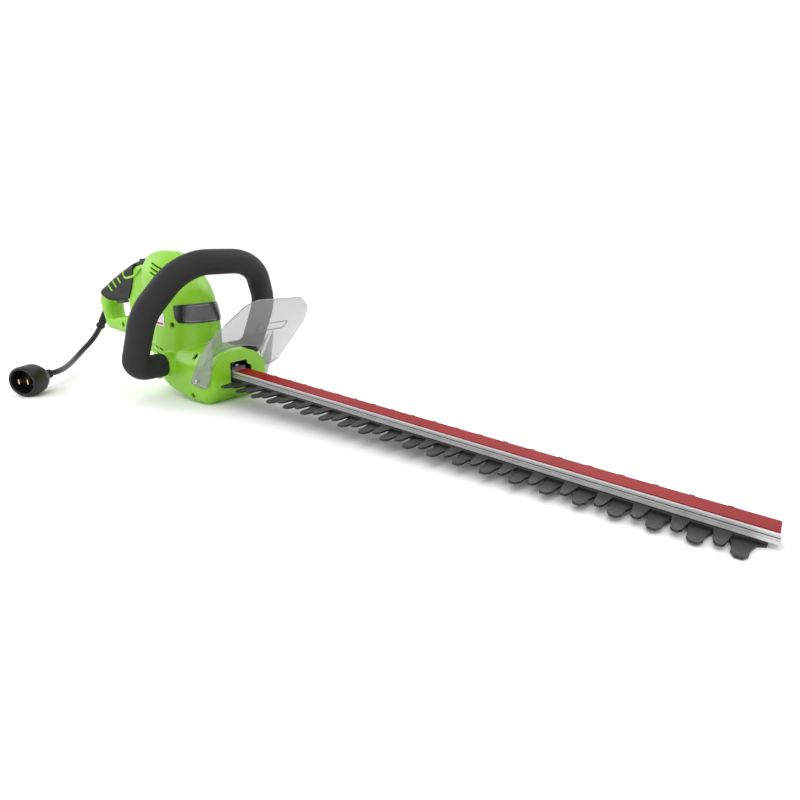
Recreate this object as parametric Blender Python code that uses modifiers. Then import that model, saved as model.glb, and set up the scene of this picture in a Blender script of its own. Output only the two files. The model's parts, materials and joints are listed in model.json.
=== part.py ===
"""Corded dual-action hedge trimmer, an assembly of separate named pieces.

The tool's own frame has x = 0 at the nose's front face, +X along the blades to their tip, +Y to the left
and +Z up, with z = 0 at the flat under the nose. The tool stands on that flat and on its blade tip, so an
empty pitches it nose down, and puts the scene's origin at the middle of the flat. The cord and its plug
lie on the ground and are placed in the scene's frame.
"""

import math

import bmesh
import bpy
from mathutils import Matrix, Vector

GAP = 0.0003  # left between touching pieces
WALL = 0.0025
MERGE = 0.00001

# Blades and bar
PITCH = 0.0271
TEETH = 21
FIRST_TOOTH = 0.5563
LONG_REACH = 0.0375
SHORT_REACH = 0.0340
SHORT_OFFSET = -0.0126  # short teeth, measured from the long ones at mid stroke
BLADE_END = 0.5705
BLADE_THICK = 0.0020
LOWER_Z = 0.0300
UPPER_Z = LOWER_Z + BLADE_THICK + GAP
BLADE_HALF = 0.0130
NECK_START = -0.0550
STROKE = 0.0055  # each way from mid stroke
BAR_Z = UPPER_Z + BLADE_THICK + GAP
BAR_TOP = 0.0433
BAR_HALF = 0.0101
BAR_START = -0.0200
BAR_END = 0.5765
STRIP_THICK = 0.0006
BOLT_COUNT = 4
BOLT_FIRST = 0.0600
BOLT_STEP = 0.1500

# Drive
GEAR_X = -0.0820
MODULE = 0.0011
GEAR_TEETH = 51
PINION_TEETH = 9
MOTOR_X = GEAR_X - MODULE * (GEAR_TEETH + PINION_TEETH) / 2
GEAR_LOW = 0.0430
GEAR_HIGH = 0.0505
SHAFT_R = 0.0040
ECCENTRIC_R = 0.0105
SWEEP = ECCENTRIC_R + STROKE
CASE_LOW = 0.0370
CASE_HIGH = 0.0545
CASE_HALF = 0.0310
COVER_Z = 0.0240
COVER_THICK = 0.0024

# Front handle, a loop in a plane that leans forward
LOOP_X = -0.0895
LOOP_Z = 0.0420
LOOP_LEAN = math.radians(25)
LOOP_HEIGHT = 0.1456
LOOP_HALF = 0.0890
LOOP_TOP_HALF = 0.0505
LOOP_R = 0.0150
LOOP_START = 0.0500
SPIGOT_BORE_Y = 0.0560

# Rear handle
FRAME_HALF = 0.0150
FRAME_ROUND = 0.0070
PAD_THICK = 0.0018
TRIGGER_PIVOT = (-0.2330, 0.1165)
BUTTON_X = -0.1940

# Stance: the flat under the nose, and the blade tip, are on the ground
FOOT = Vector((-0.0300, 0.0, 0.0))
TIP_LIFT = 0.0002
GROUND_SLOPE = (LOWER_Z - TIP_LIFT) / (BLADE_END - FOOT.x)
NOSE_DOWN = math.atan(GROUND_SLOPE)
FLAT_REAR = -0.0480
FLAT_FRONT = -0.0180

# Housing sections: height, rear end, front end, half width
BODY = [
    (0.0300, -0.150, -0.0580, 0.0360),
    (0.0600, -0.163, -0.0570, 0.0380),
    (0.0900, -0.171, -0.0576, 0.0390),
    (0.1150, -0.174, -0.0648, 0.0390),
    (0.1350, -0.175, -0.0733, 0.0375),
    (0.1520, -0.175, -0.0880, 0.0345),
    (0.1660, -0.172, -0.0975, 0.0275),
    (0.1750, -0.164, -0.1090, 0.0190),
    (0.1795, -0.150, -0.1200, 0.0100),
]
# Nose sections: distance along X, underside, top, half width
NOSE = [
    (-0.140, 0.0205, 0.0620, 0.0370),
    (-0.095, 0.0065, 0.0665, 0.0430),
    (FLAT_REAR, GROUND_SLOPE * (FLAT_REAR - FOOT.x), 0.0685, 0.0435),
    (FLAT_FRONT, GROUND_SLOPE * (FLAT_FRONT - FOOT.x), 0.0690, 0.0425),
    (0.000, 0.0230, 0.0690, 0.0405),
]
# Rear handle outline: x, z, corner radius
FRAME = [
    (-0.1250, 0.0200, 0.0),
    (-0.1250, 0.1580, 0.0),
    (-0.1780, 0.1615, 0.020),
    (-0.2120, 0.1535, 0.060),
    (-0.2380, 0.1435, 0.060),
    (-0.2640, 0.1315, 0.060),
    (-0.2900, 0.1180, 0.060),
    (-0.3075, 0.1060, 0.012),
    (-0.3145, 0.0970, 0.012),
    (-0.3110, 0.0830, 0.020),
    (-0.2995, 0.0540, 0.008),
    (-0.2446, 0.0522, 0.030),
    (-0.2000, 0.0400, 0.030),
]
OPENING = [
    (-0.2290, 0.1085, 0.008),
    (-0.2620, 0.1040, 0.040),
    (-0.2830, 0.0990, 0.010),
    (-0.2915, 0.0880, 0.008),
    (-0.2900, 0.0700, 0.006),
    (-0.2620, 0.0770, 0.020),
    (-0.2290, 0.0830, 0.008),
]
# The soft skin on the hand hold, 2 mm proud of the outline above and below
PAD = [
    (-0.2030, 0.1578, 0.0),
    (-0.2060, 0.1370, 0.0),
    (-0.2120, 0.1235, 0.0),
    (-0.2215, 0.1085, 0.0),
    (-0.2310, 0.1058, 0.0),
    (-0.2620, 0.1018, 0.050),
    (-0.2780, 0.0985, 0.0),
    (-0.3065, 0.1085, 0.006),
    (-0.2895, 0.1203, 0.050),
    (-0.2635, 0.1338, 0.050),
    (-0.2375, 0.1458, 0.050),
    (-0.2115, 0.1558, 0.0),
]
# Screws that hold the housing halves: x, z, how far from the middle the head sits, and its post's radius
# and reach
HOUSING_SCREWS = [
    (-0.0864, 0.0919, 0.014, 0.0055, 0.0315),
    (-0.0430, 0.0578, 0.014, 0.0050, 0.0275),
    (-0.0390, 0.0098, 0.014, 0.0055, 0.0385),
    (-0.2473, 0.0675, 0.008, 0.0048, 0.0142),
]
# Guard: a leaning clear plate. Its base line, then its outline as left-right place and distance up the slope
GUARD_X = -0.0220
GUARD_Z = 0.0360
GUARD_LEAN = math.radians(30)
GUARD_THICK = 0.0025
GUARD = [
    (-0.0475, 0.0200, 0.002),
    (-0.0475, 0.0560, 0.020),
    (-0.0320, 0.0802, 0.020),
    (-0.0110, 0.1068, 0.014),
    (0.0050, 0.1132, 0.014),
    (0.0764, 0.1108, 0.012),
    (0.0950, 0.0940, 0.016),
    (0.0985, 0.0710, 0.010),
    (0.0790, 0.0064, 0.008),
    (0.0680, 0.0000, 0.006),
    (0.0450, 0.0000, 0.0),
    (0.0450, 0.0200, 0.0),
    (0.0290, 0.0380, 0.004),
    (0.0120, 0.0430, 0.008),
    (-0.0120, 0.0430, 0.008),
    (-0.0290, 0.0380, 0.004),
    (-0.0450, 0.0200, 0.0),
]
FLANGE = [
    (-0.0390, 0.0270, 0.004),
    (-0.0060, 0.0255, 0.004),
    (0.0050, 0.0480, 0.006),
    (0.0120, 0.0900, 0.004),
    (0.0040, 0.0860, 0.004),
    (-0.0160, 0.0620, 0.020),
]
GUARD_SCREW = (-0.0240, 0.0325)
FLANGE_Y = 0.0446

# Cord, in the scene's frame: a hanging lead that comes down to the plug
BOOT_IN = Vector((-0.3020, 0.0, 0.0957))
BOOT_END = Vector((-0.3500, 0.0, 0.0483))
CORD_R = 0.0040
CORD_ROUTE = [
    (-0.3305, -0.0045, 0.0475),
    (-0.3325, -0.0150, 0.0360),
    (-0.3262, -0.0290, 0.0280),
    (-0.3100, -0.0470, 0.0215),
    (-0.2850, -0.0670, 0.0188),
    (-0.2600, -0.0865, 0.0186),
    (-0.2405, -0.1037, 0.0197),
]
PLUG_NECK = Vector((-0.2327, -0.1166, 0.0204))
PLUG_AXIS = Vector((0.49, -0.872, 0.0)).normalized()
PLUG_R = 0.0200
PLUG_LENGTH = 0.0500


# ---------------------------------------------------------------- scene and helpers

for old in list(bpy.data.objects):
    bpy.data.objects.remove(old, do_unlink=True)

parts = bpy.data.collections.new("hedge_trimmer")
cutters = bpy.data.collections.new("cutters")
bpy.context.scene.collection.children.link(parts)
bpy.context.scene.collection.children.link(cutters)

attitude = bpy.data.objects.new("attitude", None)
bpy.context.scene.collection.objects.link(attitude)
attitude.rotation_euler = (0.0, NOSE_DOWN, 0.0)
attitude.location = -(Matrix.Rotation(NOSE_DOWN, 3, "Y") @ FOOT)
bpy.context.view_layer.update()


def material(name, colour, roughness, metallic=0.0, alpha=1.0):
    made = bpy.data.materials.new(name)
    made.use_nodes = True
    shader = made.node_tree.nodes["Principled BSDF"]
    shader.inputs["Base Color"].default_value = (*colour, 1.0)
    shader.inputs["Roughness"].default_value = roughness
    shader.inputs["Metallic"].default_value = metallic
    shader.inputs["Alpha"].default_value = alpha
    return made


GREEN = material("green_plastic", (0.26, 0.57, 0.02), 0.35)
BLACK = material("black_plastic", (0.03, 0.03, 0.03), 0.6)
RUBBER = material("grip_rubber", (0.02, 0.02, 0.025), 0.8)
CLEAR = material("clear_plastic", (0.75, 0.78, 0.80), 0.15, alpha=0.35)
ALUMINIUM = material("aluminium", (0.66, 0.68, 0.69), 0.35, 1.0)
CAST = material("cast_case", (0.50, 0.51, 0.52), 0.5, 1.0)
BLADE_STEEL = material("blade_steel", (0.07, 0.07, 0.065), 0.45, 0.9)
BRIGHT_STEEL = material("bright_steel", (0.55, 0.55, 0.56), 0.3, 1.0)
RED = material("red_strip", (0.40, 0.02, 0.03), 0.4)
PLATE_GREY = material("plate_grey", (0.045, 0.045, 0.05), 0.4)
COPPER = material("copper", (0.70, 0.33, 0.16), 0.4, 1.0)
CARBON = material("carbon", (0.04, 0.04, 0.045), 0.7)
FELT = material("felt", (0.30, 0.28, 0.24), 0.95)
BRASS = material("brass", (0.75, 0.58, 0.25), 0.35, 1.0)
WIRE = material("wire_sheath", (0.02, 0.02, 0.02), 0.5)


def keep(obj, shade, as_cutter=False, on_tool=True):
    """Puts a finished object in its collection, in the tool's frame or the scene's."""
    home = cutters if as_cutter else parts
    home.objects.link(obj)
    if shade is not None:
        obj.data.materials.clear()
        obj.data.materials.append(shade)
    if on_tool:
        obj.parent = attitude
    if as_cutter:
        obj.hide_render = True
        obj.display_type = "WIRE"
    return obj


def from_bmesh(name, bm, shade, as_cutter=False, on_tool=True, smooth=True):
    bm.normal_update()
    bmesh.ops.recalc_face_normals(bm, faces=bm.faces)
    mesh = bpy.data.meshes.new(name)
    bm.to_mesh(mesh)
    bm.free()
    if smooth:
        mesh.shade_smooth()
        mesh.set_sharp_from_angle(angle=math.radians(35))
    return keep(bpy.data.objects.new(name, mesh), shade, as_cutter, on_tool)


def from_curve(name, curve, matrix, shade, as_cutter=False, on_tool=True):
    """A curve made into a mesh with its caps welded, moved by matrix in the frame it is placed in."""
    temporary = bpy.data.objects.new(name + "_curve", curve)
    bpy.context.scene.collection.objects.link(temporary)
    bpy.context.view_layer.update()
    evaluated = temporary.evaluated_get(bpy.context.evaluated_depsgraph_get())
    mesh = bpy.data.meshes.new_from_object(evaluated)
    bpy.data.objects.remove(temporary, do_unlink=True)
    bm = bmesh.new()
    bm.from_mesh(mesh)
    bmesh.ops.remove_doubles(bm, verts=bm.verts, dist=MERGE)
    bm.transform(matrix)
    return from_bmesh(name, bm, shade, as_cutter, on_tool)


def box(name, low, high, shade, as_cutter=False, on_tool=True):
    bm = bmesh.new()
    bmesh.ops.create_cube(bm, size=1.0)
    low, high = Vector(low), Vector(high)
    size = high - low
    bmesh.ops.scale(bm, vec=size, verts=bm.verts)
    bmesh.ops.translate(bm, vec=(low + high) / 2, verts=bm.verts)
    return from_bmesh(name, bm, shade, as_cutter, on_tool, smooth=False)


def along(start, axis):
    """The matrix that takes local +Z to an axis, at a start point."""
    turn = Vector((0, 0, 1)).rotation_difference(Vector(axis).normalized()).to_matrix().to_4x4()
    return Matrix.Translation(Vector(start)) @ turn


def rod(name, start, axis, radius, length, shade, as_cutter=False, on_tool=True, sides=16):
    bm = bmesh.new()
    bmesh.ops.create_cone(
        bm, cap_ends=True, segments=sides, radius1=radius, radius2=radius, depth=length
    )
    bmesh.ops.translate(bm, vec=(0, 0, length / 2), verts=bm.verts)
    bm.transform(along(start, axis))
    return from_bmesh(name, bm, shade, as_cutter, on_tool)


def turned(name, profile, start, axis, shade, closed=False, on_tool=True, steps=20):
    """A turned piece: profile points are radius and height, ends on the axis unless closed is set."""
    mesh = bpy.data.meshes.new(name)
    points = [(radius, 0.0, height) for radius, height in profile]
    edges = [(i, i + 1) for i in range(len(points) - 1)]
    if closed:
        edges.append((len(points) - 1, 0))
    mesh.from_pydata(points, edges, [])
    obj = bpy.data.objects.new(name, mesh)
    screw = obj.modifiers.new("Screw", "SCREW")
    screw.steps = steps
    screw.render_steps = steps
    screw.use_merge_vertices = True
    screw.merge_threshold = MERGE
    bpy.context.scene.collection.objects.link(obj)
    bpy.context.view_layer.update()
    evaluated = obj.evaluated_get(bpy.context.evaluated_depsgraph_get())
    made = bpy.data.meshes.new_from_object(evaluated)
    bpy.data.objects.remove(obj, do_unlink=True)
    bm = bmesh.new()
    bm.from_mesh(made)
    bmesh.ops.remove_doubles(bm, verts=bm.verts, dist=MERGE)
    bm.transform(along(start, axis))
    return from_bmesh(name, bm, shade, on_tool=on_tool)


def ring(name, start, axis, inner, outer, length, shade, steps=24):
    profile = [(outer, length), (outer, 0.0), (inner, 0.0), (inner, length)]
    return turned(name, profile, start, axis, shade, closed=True, steps=steps)


def rounded(corners, steps=4):
    """An outline whose corners (x, y, radius) are turned into arcs."""
    points = []
    count = len(corners)
    for i in range(count):
        x, y, radius = corners[i]
        here = Vector((x, y))
        before = (Vector(corners[i - 1][:2]) - here).normalized()
        after = (Vector(corners[(i + 1) % count][:2]) - here).normalized()
        half = before.angle(after) / 2
        if radius == 0.0 or half > math.radians(89):
            points.append((x, y))
            continue
        reach = min(
            radius / math.tan(half),
            0.48 * (Vector(corners[i - 1][:2]) - here).length,
            0.48 * (Vector(corners[(i + 1) % count][:2]) - here).length,
        )
        radius = reach * math.tan(half)
        start, end = here + before * reach, here + after * reach
        centre = here + (before + after).normalized() * (radius / math.sin(half))
        first, last = start - centre, end - centre
        turn = first.angle_signed(last)
        arc = max(1, round(steps * abs(turn) / (math.pi / 2)))
        for k in range(arc + 1):
            spin = Matrix.Rotation(-turn * k / arc, 2)
            point = centre + spin @ first
            points.append((point.x, point.y))
    return points


def circle(x, y, radius, sides=16):
    return [
        (x + radius * math.cos(2 * math.pi * i / sides), y + radius * math.sin(2 * math.pi * i / sides))
        for i in range(sides)
    ]


def grown(points, distance):
    """The outline moved outwards by a distance, along the normals of its corners."""
    area = sum(
        points[i - 1][0] * points[i][1] - points[i][0] * points[i - 1][1] for i in range(len(points))
    )
    side = 1.0 if area > 0 else -1.0
    moved = []
    for i, here in enumerate(points):
        here = Vector(here)
        back = (here - Vector(points[i - 1])).normalized()
        ahead = (Vector(points[(i + 1) % len(points)]) - here).normalized()
        normal_a = Vector((back.y, -back.x)) * side
        normal_b = Vector((ahead.y, -ahead.x)) * side
        normal = (normal_a + normal_b).normalized()
        reach = distance / max(0.5, normal.dot(normal_a))
        moved.append((here.x + normal.x * reach, here.y + normal.y * reach))
    return moved


def flat(name, outlines, low, high, shade, matrix=None, edge=0.0, as_cutter=False):
    """Filled outlines in local XY, solid from low to high along local Z, with a rounded edge if asked."""
    curve = bpy.data.curves.new(name, "CURVE")
    curve.dimensions = "2D"
    curve.fill_mode = "BOTH"
    curve.extrude = (high - low) / 2 - edge
    curve.bevel_depth = edge
    curve.bevel_resolution = 1
    for index, outline in enumerate(outlines):
        if edge:
            outline = grown(outline, -edge if index == 0 else edge)
        spline = curve.splines.new("POLY")
        spline.points.add(len(outline) - 1)
        for point, (x, y) in zip(spline.points, outline):
            point.co = (x, y, 0.0, 1.0)
        spline.use_cyclic_u = True
    lift = Matrix.Translation((0, 0, (low + high) / 2))
    return from_curve(name, curve, (matrix or Matrix.Identity(4)) @ lift, shade, as_cutter)


# Local XY to the tool's XZ, and local Z to its left (+Y)
SIDE_VIEW = Matrix(((1, 0, 0, 0), (0, 0, 1, 0), (0, 1, 0, 0), (0, 0, 0, 1)))


def side_plate(name, outlines, low, high, shade, edge=0.0, as_cutter=False):
    return flat(name, outlines, low, high, shade, SIDE_VIEW, edge, as_cutter)


def tube(name, points, radius, shade, on_tool=True, capped=True, resolution=2, smooth_steps=0):
    """A round tube along points, through a smooth curve when smooth_steps is set."""
    path = smooth_path(points, smooth_steps) if smooth_steps else [Vector(p) for p in points]
    curve = bpy.data.curves.new(name, "CURVE")
    curve.dimensions = "3D"
    curve.bevel_depth = radius
    curve.bevel_resolution = resolution
    curve.use_fill_caps = capped
    spline = curve.splines.new("POLY")
    spline.points.add(len(path) - 1)
    for point, place in zip(spline.points, path):
        point.co = (*place, 1.0)
    return from_curve(name, curve, Matrix.Identity(4), shade, on_tool=on_tool)


def smooth_path(points, steps):
    """Points along a smooth curve through the given ones."""
    knots = [Vector(p) for p in points]
    knots = [knots[0] * 2 - knots[1]] + knots + [knots[-1] * 2 - knots[-2]]
    path = []
    for a, b, c, d in zip(knots, knots[1:], knots[2:], knots[3:]):
        for k in range(steps):
            t = k / steps
            path.append(
                0.5 * (2 * b + (c - a) * t + (2 * a - 5 * b + 4 * c - d) * t**2
                       + (3 * b - a - 3 * c + d) * t**3)
            )
    path.append(knots[-2])
    return path


def loft(name, rings, shade, as_cutter=False):
    """A closed solid through rings of equal point counts."""
    bm = bmesh.new()
    rows = [[bm.verts.new(point) for point in ring_points] for ring_points in rings]
    for lower, upper in zip(rows, rows[1:]):
        for i in range(len(lower)):
            j = (i + 1) % len(lower)
            bm.faces.new((lower[i], lower[j], upper[j], upper[i]))
    bm.faces.new(rows[0])
    bm.faces.new(rows[-1])
    return from_bmesh(name, bm, shade, as_cutter)


def boolean(obj, other, operation):
    modifier = obj.modifiers.new(operation.title(), "BOOLEAN")
    modifier.operation = operation
    modifier.object = other
    modifier.solver = "EXACT"


def cut(obj, *others):
    for other in others:
        boolean(obj, other, "DIFFERENCE")


def join(obj, *others):
    for other in others:
        boolean(obj, other, "UNION")


def screw_piece(name, head, axis, shank_r, shank_length, head_r, head_length, shade, on_tool=True):
    """A pan-head screw: head is the point under its head, axis the way its shank runs."""
    profile = [
        (0.0, shank_length),
        (shank_r, shank_length),
        (shank_r, 0.0),
        (head_r, 0.0),
        (head_r * 0.8, -head_length),
        (0.0, -head_length),
    ]
    return turned(name, profile, head, axis, shade, on_tool=on_tool, steps=8)


# ---------------------------------------------------------------- housing

BODY_SIDES = 20
VENT_TILT = math.radians(17)
BODY_POWER = 2.2


def body_rings(offset):
    rings = []
    last = len(BODY) - 1
    for index, (z, rear, front, half) in enumerate(BODY):
        centre, reach = (rear + front) / 2, (front - rear) / 2 + offset
        z += offset if index == last else (-offset if index == 0 else 0.0)
        points = []
        for i in range(BODY_SIDES):
            turn = 2 * math.pi * (i + 0.5) / BODY_SIDES
            c, s = math.cos(turn), math.sin(turn)
            x = centre + reach * math.copysign(abs(c) ** (2 / BODY_POWER), c)
            y = (half + offset) * math.copysign(abs(s) ** (2 / BODY_POWER), s)
            points.append((x, y, z))
        rings.append(points)
    return rings


def nose_rings(offset):
    rings = []
    last = len(NOSE) - 1
    for index, (x, low, high, half) in enumerate(NOSE):
        x += offset if index == last else (-offset if index == 0 else 0.0)
        half, low, high = half + offset, low - offset, high + offset
        right = [
            (0.82 * half, low),
            (half, low + 0.008),
            (half, high - 0.020),
            (0.66 * half, high - 0.0055),
            (0.28 * half, high),
        ]
        left = [(-y, z) for y, z in reversed(right)]
        rings.append([(x, y, z) for y, z in right + left])
    return rings


frame_outline = rounded(FRAME)
opening_outline = rounded(OPENING)

body_inner = loft("body_inner", body_rings(-WALL), None, as_cutter=True)
nose_inner = loft("nose_inner", nose_rings(-WALL), None, as_cutter=True)
nose_outer = loft("nose_outer", nose_rings(0.0), None, as_cutter=True)
frame_outer = side_plate(
    "frame_outer",
    [frame_outline, opening_outline],
    -FRAME_HALF,
    FRAME_HALF,
    None,
    FRAME_ROUND,
    as_cutter=True,
)
frame_inner = side_plate(
    "frame_inner",
    [grown(frame_outline, -WALL), grown(opening_outline, WALL)],
    -FRAME_HALF + WALL,
    FRAME_HALF - WALL,
    None,
    FRAME_ROUND - WALL,
    as_cutter=True,
)
blade_slot = box("blade_slot", (-0.014, -0.0140, 0.0270), (0.010, 0.0140, 0.0550), None, as_cutter=True)
trigger_slot = box(
    "trigger_slot", (-0.2790, -0.0080, 0.0850), (-0.2425, 0.0080, 0.1100), None, as_cutter=True
)
button_slot = box(
    "button_slot", (BUTTON_X - 0.0090, -0.0059, 0.1505), (BUTTON_X + 0.0090, 0.0059, 0.1720), None, True
)
boot_axis = BOOT_END - BOOT_IN
boot_hole = rod("boot_hole", BOOT_IN - boot_axis * 0.04, boot_axis, 0.0074, 0.060, None, as_cutter=True)

vents = []


def vent(name, centre, length, height, side):
    """A slanted slot through one side of the shell, lower towards the front."""
    slot = box(name, (-length / 2, -0.012, -height / 2), (length / 2, 0.012, height / 2), None, as_cutter=True)
    slot.rotation_euler = (0.0, VENT_TILT, 0.0)
    slot.location = (centre[0], side * centre[1], centre[2])
    vents.append(slot)


for side, label in ((-1, "right"), (1, "left")):
    for index in range(3):
        centre = (-0.1215 + 0.0011 * index, 0.0330, 0.1618 - 0.0053 * index)
        vent(f"upper_vent_{label}_{index}", centre, 0.0245 - 0.0020 * index, 0.0024, side)
    for row in range(2):
        for column in range(3):
            centre = (-0.1328 + 0.0107 * column, 0.0400, 0.0590 - 0.0083 * row - 0.0011 * column)
            vent(f"side_vent_{label}_{row}_{column}", centre, 0.0080, 0.0029, side)


def housing_half(name, side):
    """One clamshell half: the shell on its side of the middle, with its screw posts and handle spigot."""
    half = loft(name, body_rings(0.0), GREEN)
    join(half, nose_outer, frame_outer)
    cut(half, body_inner, nose_inner, frame_inner)
    for index, (x, z, _, radius, reach) in enumerate(HOUSING_SCREWS):
        post = rod(f"post_{name}_{index}", (x, 0, z), (0, side, 0), radius, reach, None, True, sides=12)
        join(half, post)
    seat = (LOOP_X, side * 0.036, LOOP_Z)
    boss_length = LOOP_START - GAP - 0.036
    boss = rod(f"boss_{name}", seat, (0, side, 0), LOOP_R, boss_length, None, True, sides=20)
    spigot = rod(f"spigot_{name}", seat, (0, side, 0), 0.0100, 0.0270, None, True, sides=14)
    join(half, boss, spigot)
    for index, (x, z, sunk, _, _) in enumerate(HOUSING_SCREWS):
        bore_r = 0.0020 if side < 0 else 0.0017
        depth = 0.060 if side < 0 else 0.0135
        start = (x, -side * 0.001, z)
        cut(half, rod(f"bore_{name}_{index}", start, (0, side, 0), bore_r, depth, None, True, sides=10))
        if side < 0:
            sink = rod(f"sink_{index}", (x, -sunk, z), (0, -1, 0), 0.0037, 0.050, None, True, sides=12)
            cut(half, sink)
    cut(half, blade_slot, trigger_slot, button_slot, boot_hole, *vents)
    x, z = GUARD_SCREW
    cut(half, rod(f"pilot_{name}", (x, side * 0.036, z), (0, side, 0), 0.0017, 0.02, None, True, sides=8))
    start = (LOOP_X, side * SPIGOT_BORE_Y, LOOP_Z - 0.02)
    cut(half, rod(f"handle_bore_{name}", start, (0, 0, 1), 0.0019, 0.022, None, True, sides=8))
    away = -side
    low, high = sorted((away * 0.2, -away * GAP / 2))
    cut(half, box(f"other_side_{name}", (-0.5, low, -0.1), (0.2, high, 0.3), None, as_cutter=True))
    return half


housing_half("housing_right", -1)
housing_half("housing_left", 1)

for index, (x, z, sunk, _, _) in enumerate(HOUSING_SCREWS):
    screw_piece(
        f"housing_screw_{index + 1}",
        (x, -sunk - GAP, z),
        (0, 1, 0),
        0.0014,
        sunk + 0.0115,
        0.0031,
        0.0022,
        BRIGHT_STEEL,
    )


# ---------------------------------------------------------------- rear handle

frame_clearance = side_plate(
    "frame_clearance",
    [grown(frame_outline, GAP), grown(opening_outline, -GAP)],
    -FRAME_HALF - GAP,
    FRAME_HALF + GAP,
    None,
    FRAME_ROUND,
    as_cutter=True,
)


def grip_pad(name, side):
    """The soft skin on one side of the hand hold."""
    pad = side_plate(
        name,
        [rounded(PAD)],
        -FRAME_HALF - PAD_THICK,
        FRAME_HALF + PAD_THICK,
        RUBBER,
        0.0025,
    )
    cut(pad, frame_clearance, trigger_slot)
    low, high = sorted((-side * 0.2, side * GAP / 2))
    cut(pad, box(f"other_side_{name}", (-0.5, low, -0.1), (0.2, high, 0.3), None, as_cutter=True))


grip_pad("grip_pad_right", -1)
grip_pad("grip_pad_left", 1)

trigger_outline = rounded(
    [
        (-0.2280, 0.1165, 0.003),
        (-0.2295, 0.1125, 0.002),
        (-0.2422, 0.1108, 0.0),
        (-0.2430, 0.1080, 0.001),
        (-0.2500, 0.1020, 0.006),
        (-0.2560, 0.0972, 0.006),
        (-0.2735, 0.0945, 0.003),
        (-0.2760, 0.0985, 0.003),
        (-0.2760, 0.1050, 0.002),
        (-0.2560, 0.1095, 0.006),
        (-0.2370, 0.1210, 0.003),
        (-0.2290, 0.1210, 0.003),
    ],
    steps=3,
)
px, pz = TRIGGER_PIVOT
side_plate("trigger", [trigger_outline, circle(px, pz, 0.0021, 12)], -0.0072, 0.0072, BLACK)
rod("trigger_pin", (px, -0.0118, pz), (0, 1, 0), 0.0018, 0.0236, BRIGHT_STEEL, sides=12)
box("switch", (-0.2740, -0.0085, 0.1152), (-0.2520, 0.0085, 0.1215), BLACK)

button = box(
    "lock_off_button", (BUTTON_X - 0.0085, -0.0055, 0.1515), (BUTTON_X + 0.0085, 0.0055, 0.1645), BLACK
)
button_flange = box(
    "button_flange", (BUTTON_X - 0.0100, -0.0075, 0.1488), (BUTTON_X + 0.0110, 0.0075, 0.1520), None, True
)
join(button, button_flange)


# ---------------------------------------------------------------- front handle


def loop_path():
    """The loop's centre line: in along each arm, up the sides, and over the top."""
    corners = [
        (-LOOP_START, 0.0, 0.0),
        (-LOOP_HALF, 0.0, 0.0178),
        (-LOOP_HALF, LOOP_HEIGHT * 0.555, 0.070),
        (-LOOP_TOP_HALF, LOOP_HEIGHT, 0.060),
        (LOOP_TOP_HALF, LOOP_HEIGHT, 0.060),
        (LOOP_HALF, LOOP_HEIGHT * 0.555, 0.070),
        (LOOP_HALF, 0.0, 0.0178),
        (LOOP_START, 0.0, 0.0),
    ]
    path = []
    for y, rise in rounded(corners, steps=6):
        path.append(
            Vector((LOOP_X + rise * math.sin(LOOP_LEAN), y, LOOP_Z + rise * math.cos(LOOP_LEAN)))
        )
    return path


handle = tube("front_handle", loop_path(), LOOP_R, BLACK, capped=False)
shell = handle.modifiers.new("Shell", "SOLIDIFY")
shell.thickness = 0.0026
shell.offset = -1.0
for side, label in ((-1, "right"), (1, "left")):
    bore = rod(
        f"handle_screw_bore_{label}",
        (LOOP_X, side * SPIGOT_BORE_Y, LOOP_Z - 0.022),
        (0, 0, 1),
        0.0023,
        0.0120,
        None,
        True,
        sides=8,
    )
    cut(handle, bore)
    screw_piece(
        f"handle_screw_{label}",
        (LOOP_X, side * SPIGOT_BORE_Y, LOOP_Z - LOOP_R - GAP),
        (0, 0, 1),
        0.0015,
        0.0125,
        0.0032,
        0.0020,
        BRIGHT_STEEL,
    )


# ---------------------------------------------------------------- guard

slope = Matrix(
    (
        (0.0, math.sin(GUARD_LEAN), math.cos(GUARD_LEAN), GUARD_X),
        (1.0, 0.0, 0.0, 0.0),
        (0.0, math.cos(GUARD_LEAN), -math.sin(GUARD_LEAN), GUARD_Z),
        (0.0, 0.0, 0.0, 1.0),
    )
)
guard = flat("guard", [rounded(GUARD)], -GUARD_THICK / 2, GUARD_THICK / 2, CLEAR, slope)
for side, label in ((-1, "right"), (1, "left")):
    low, high = sorted((side * FLANGE_Y, side * (FLANGE_Y + GUARD_THICK)))
    join(guard, side_plate(f"guard_flange_{label}", [rounded(FLANGE)], low, high, None, as_cutter=True))
cut(guard, loft("nose_clearance", nose_rings(0.0009), None, as_cutter=True))
for side, label in ((-1, "right"), (1, "left")):
    x, z = GUARD_SCREW
    cut(guard, rod(f"guard_hole_{label}", (x, side * 0.042, z), (0, side, 0), 0.0019, 0.008, None, True, sides=8))
    screw_piece(
        f"guard_screw_{label}",
        (x, side * (FLANGE_Y + GUARD_THICK + GAP), z),
        (0, -side, 0),
        0.0013,
        0.0085,
        0.0030,
        0.0018,
        BRIGHT_STEEL,
    )


# ---------------------------------------------------------------- blades and bar


def tooth(x, reach, root, neck, tip):
    """One tooth's outline on the +Y side, from its front root to its rear root, with a neck if given."""
    shoulder = BLADE_HALF + 0.45 * (reach - BLADE_HALF)
    half = [(root, BLADE_HALF), (neck, shoulder), (tip, reach - tip), (tip * 0.5, reach)]
    if neck is None:
        half.pop(1)
    return [(x + across, y) for across, y in half] + [(x - across, y) for across, y in reversed(half)]


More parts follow.
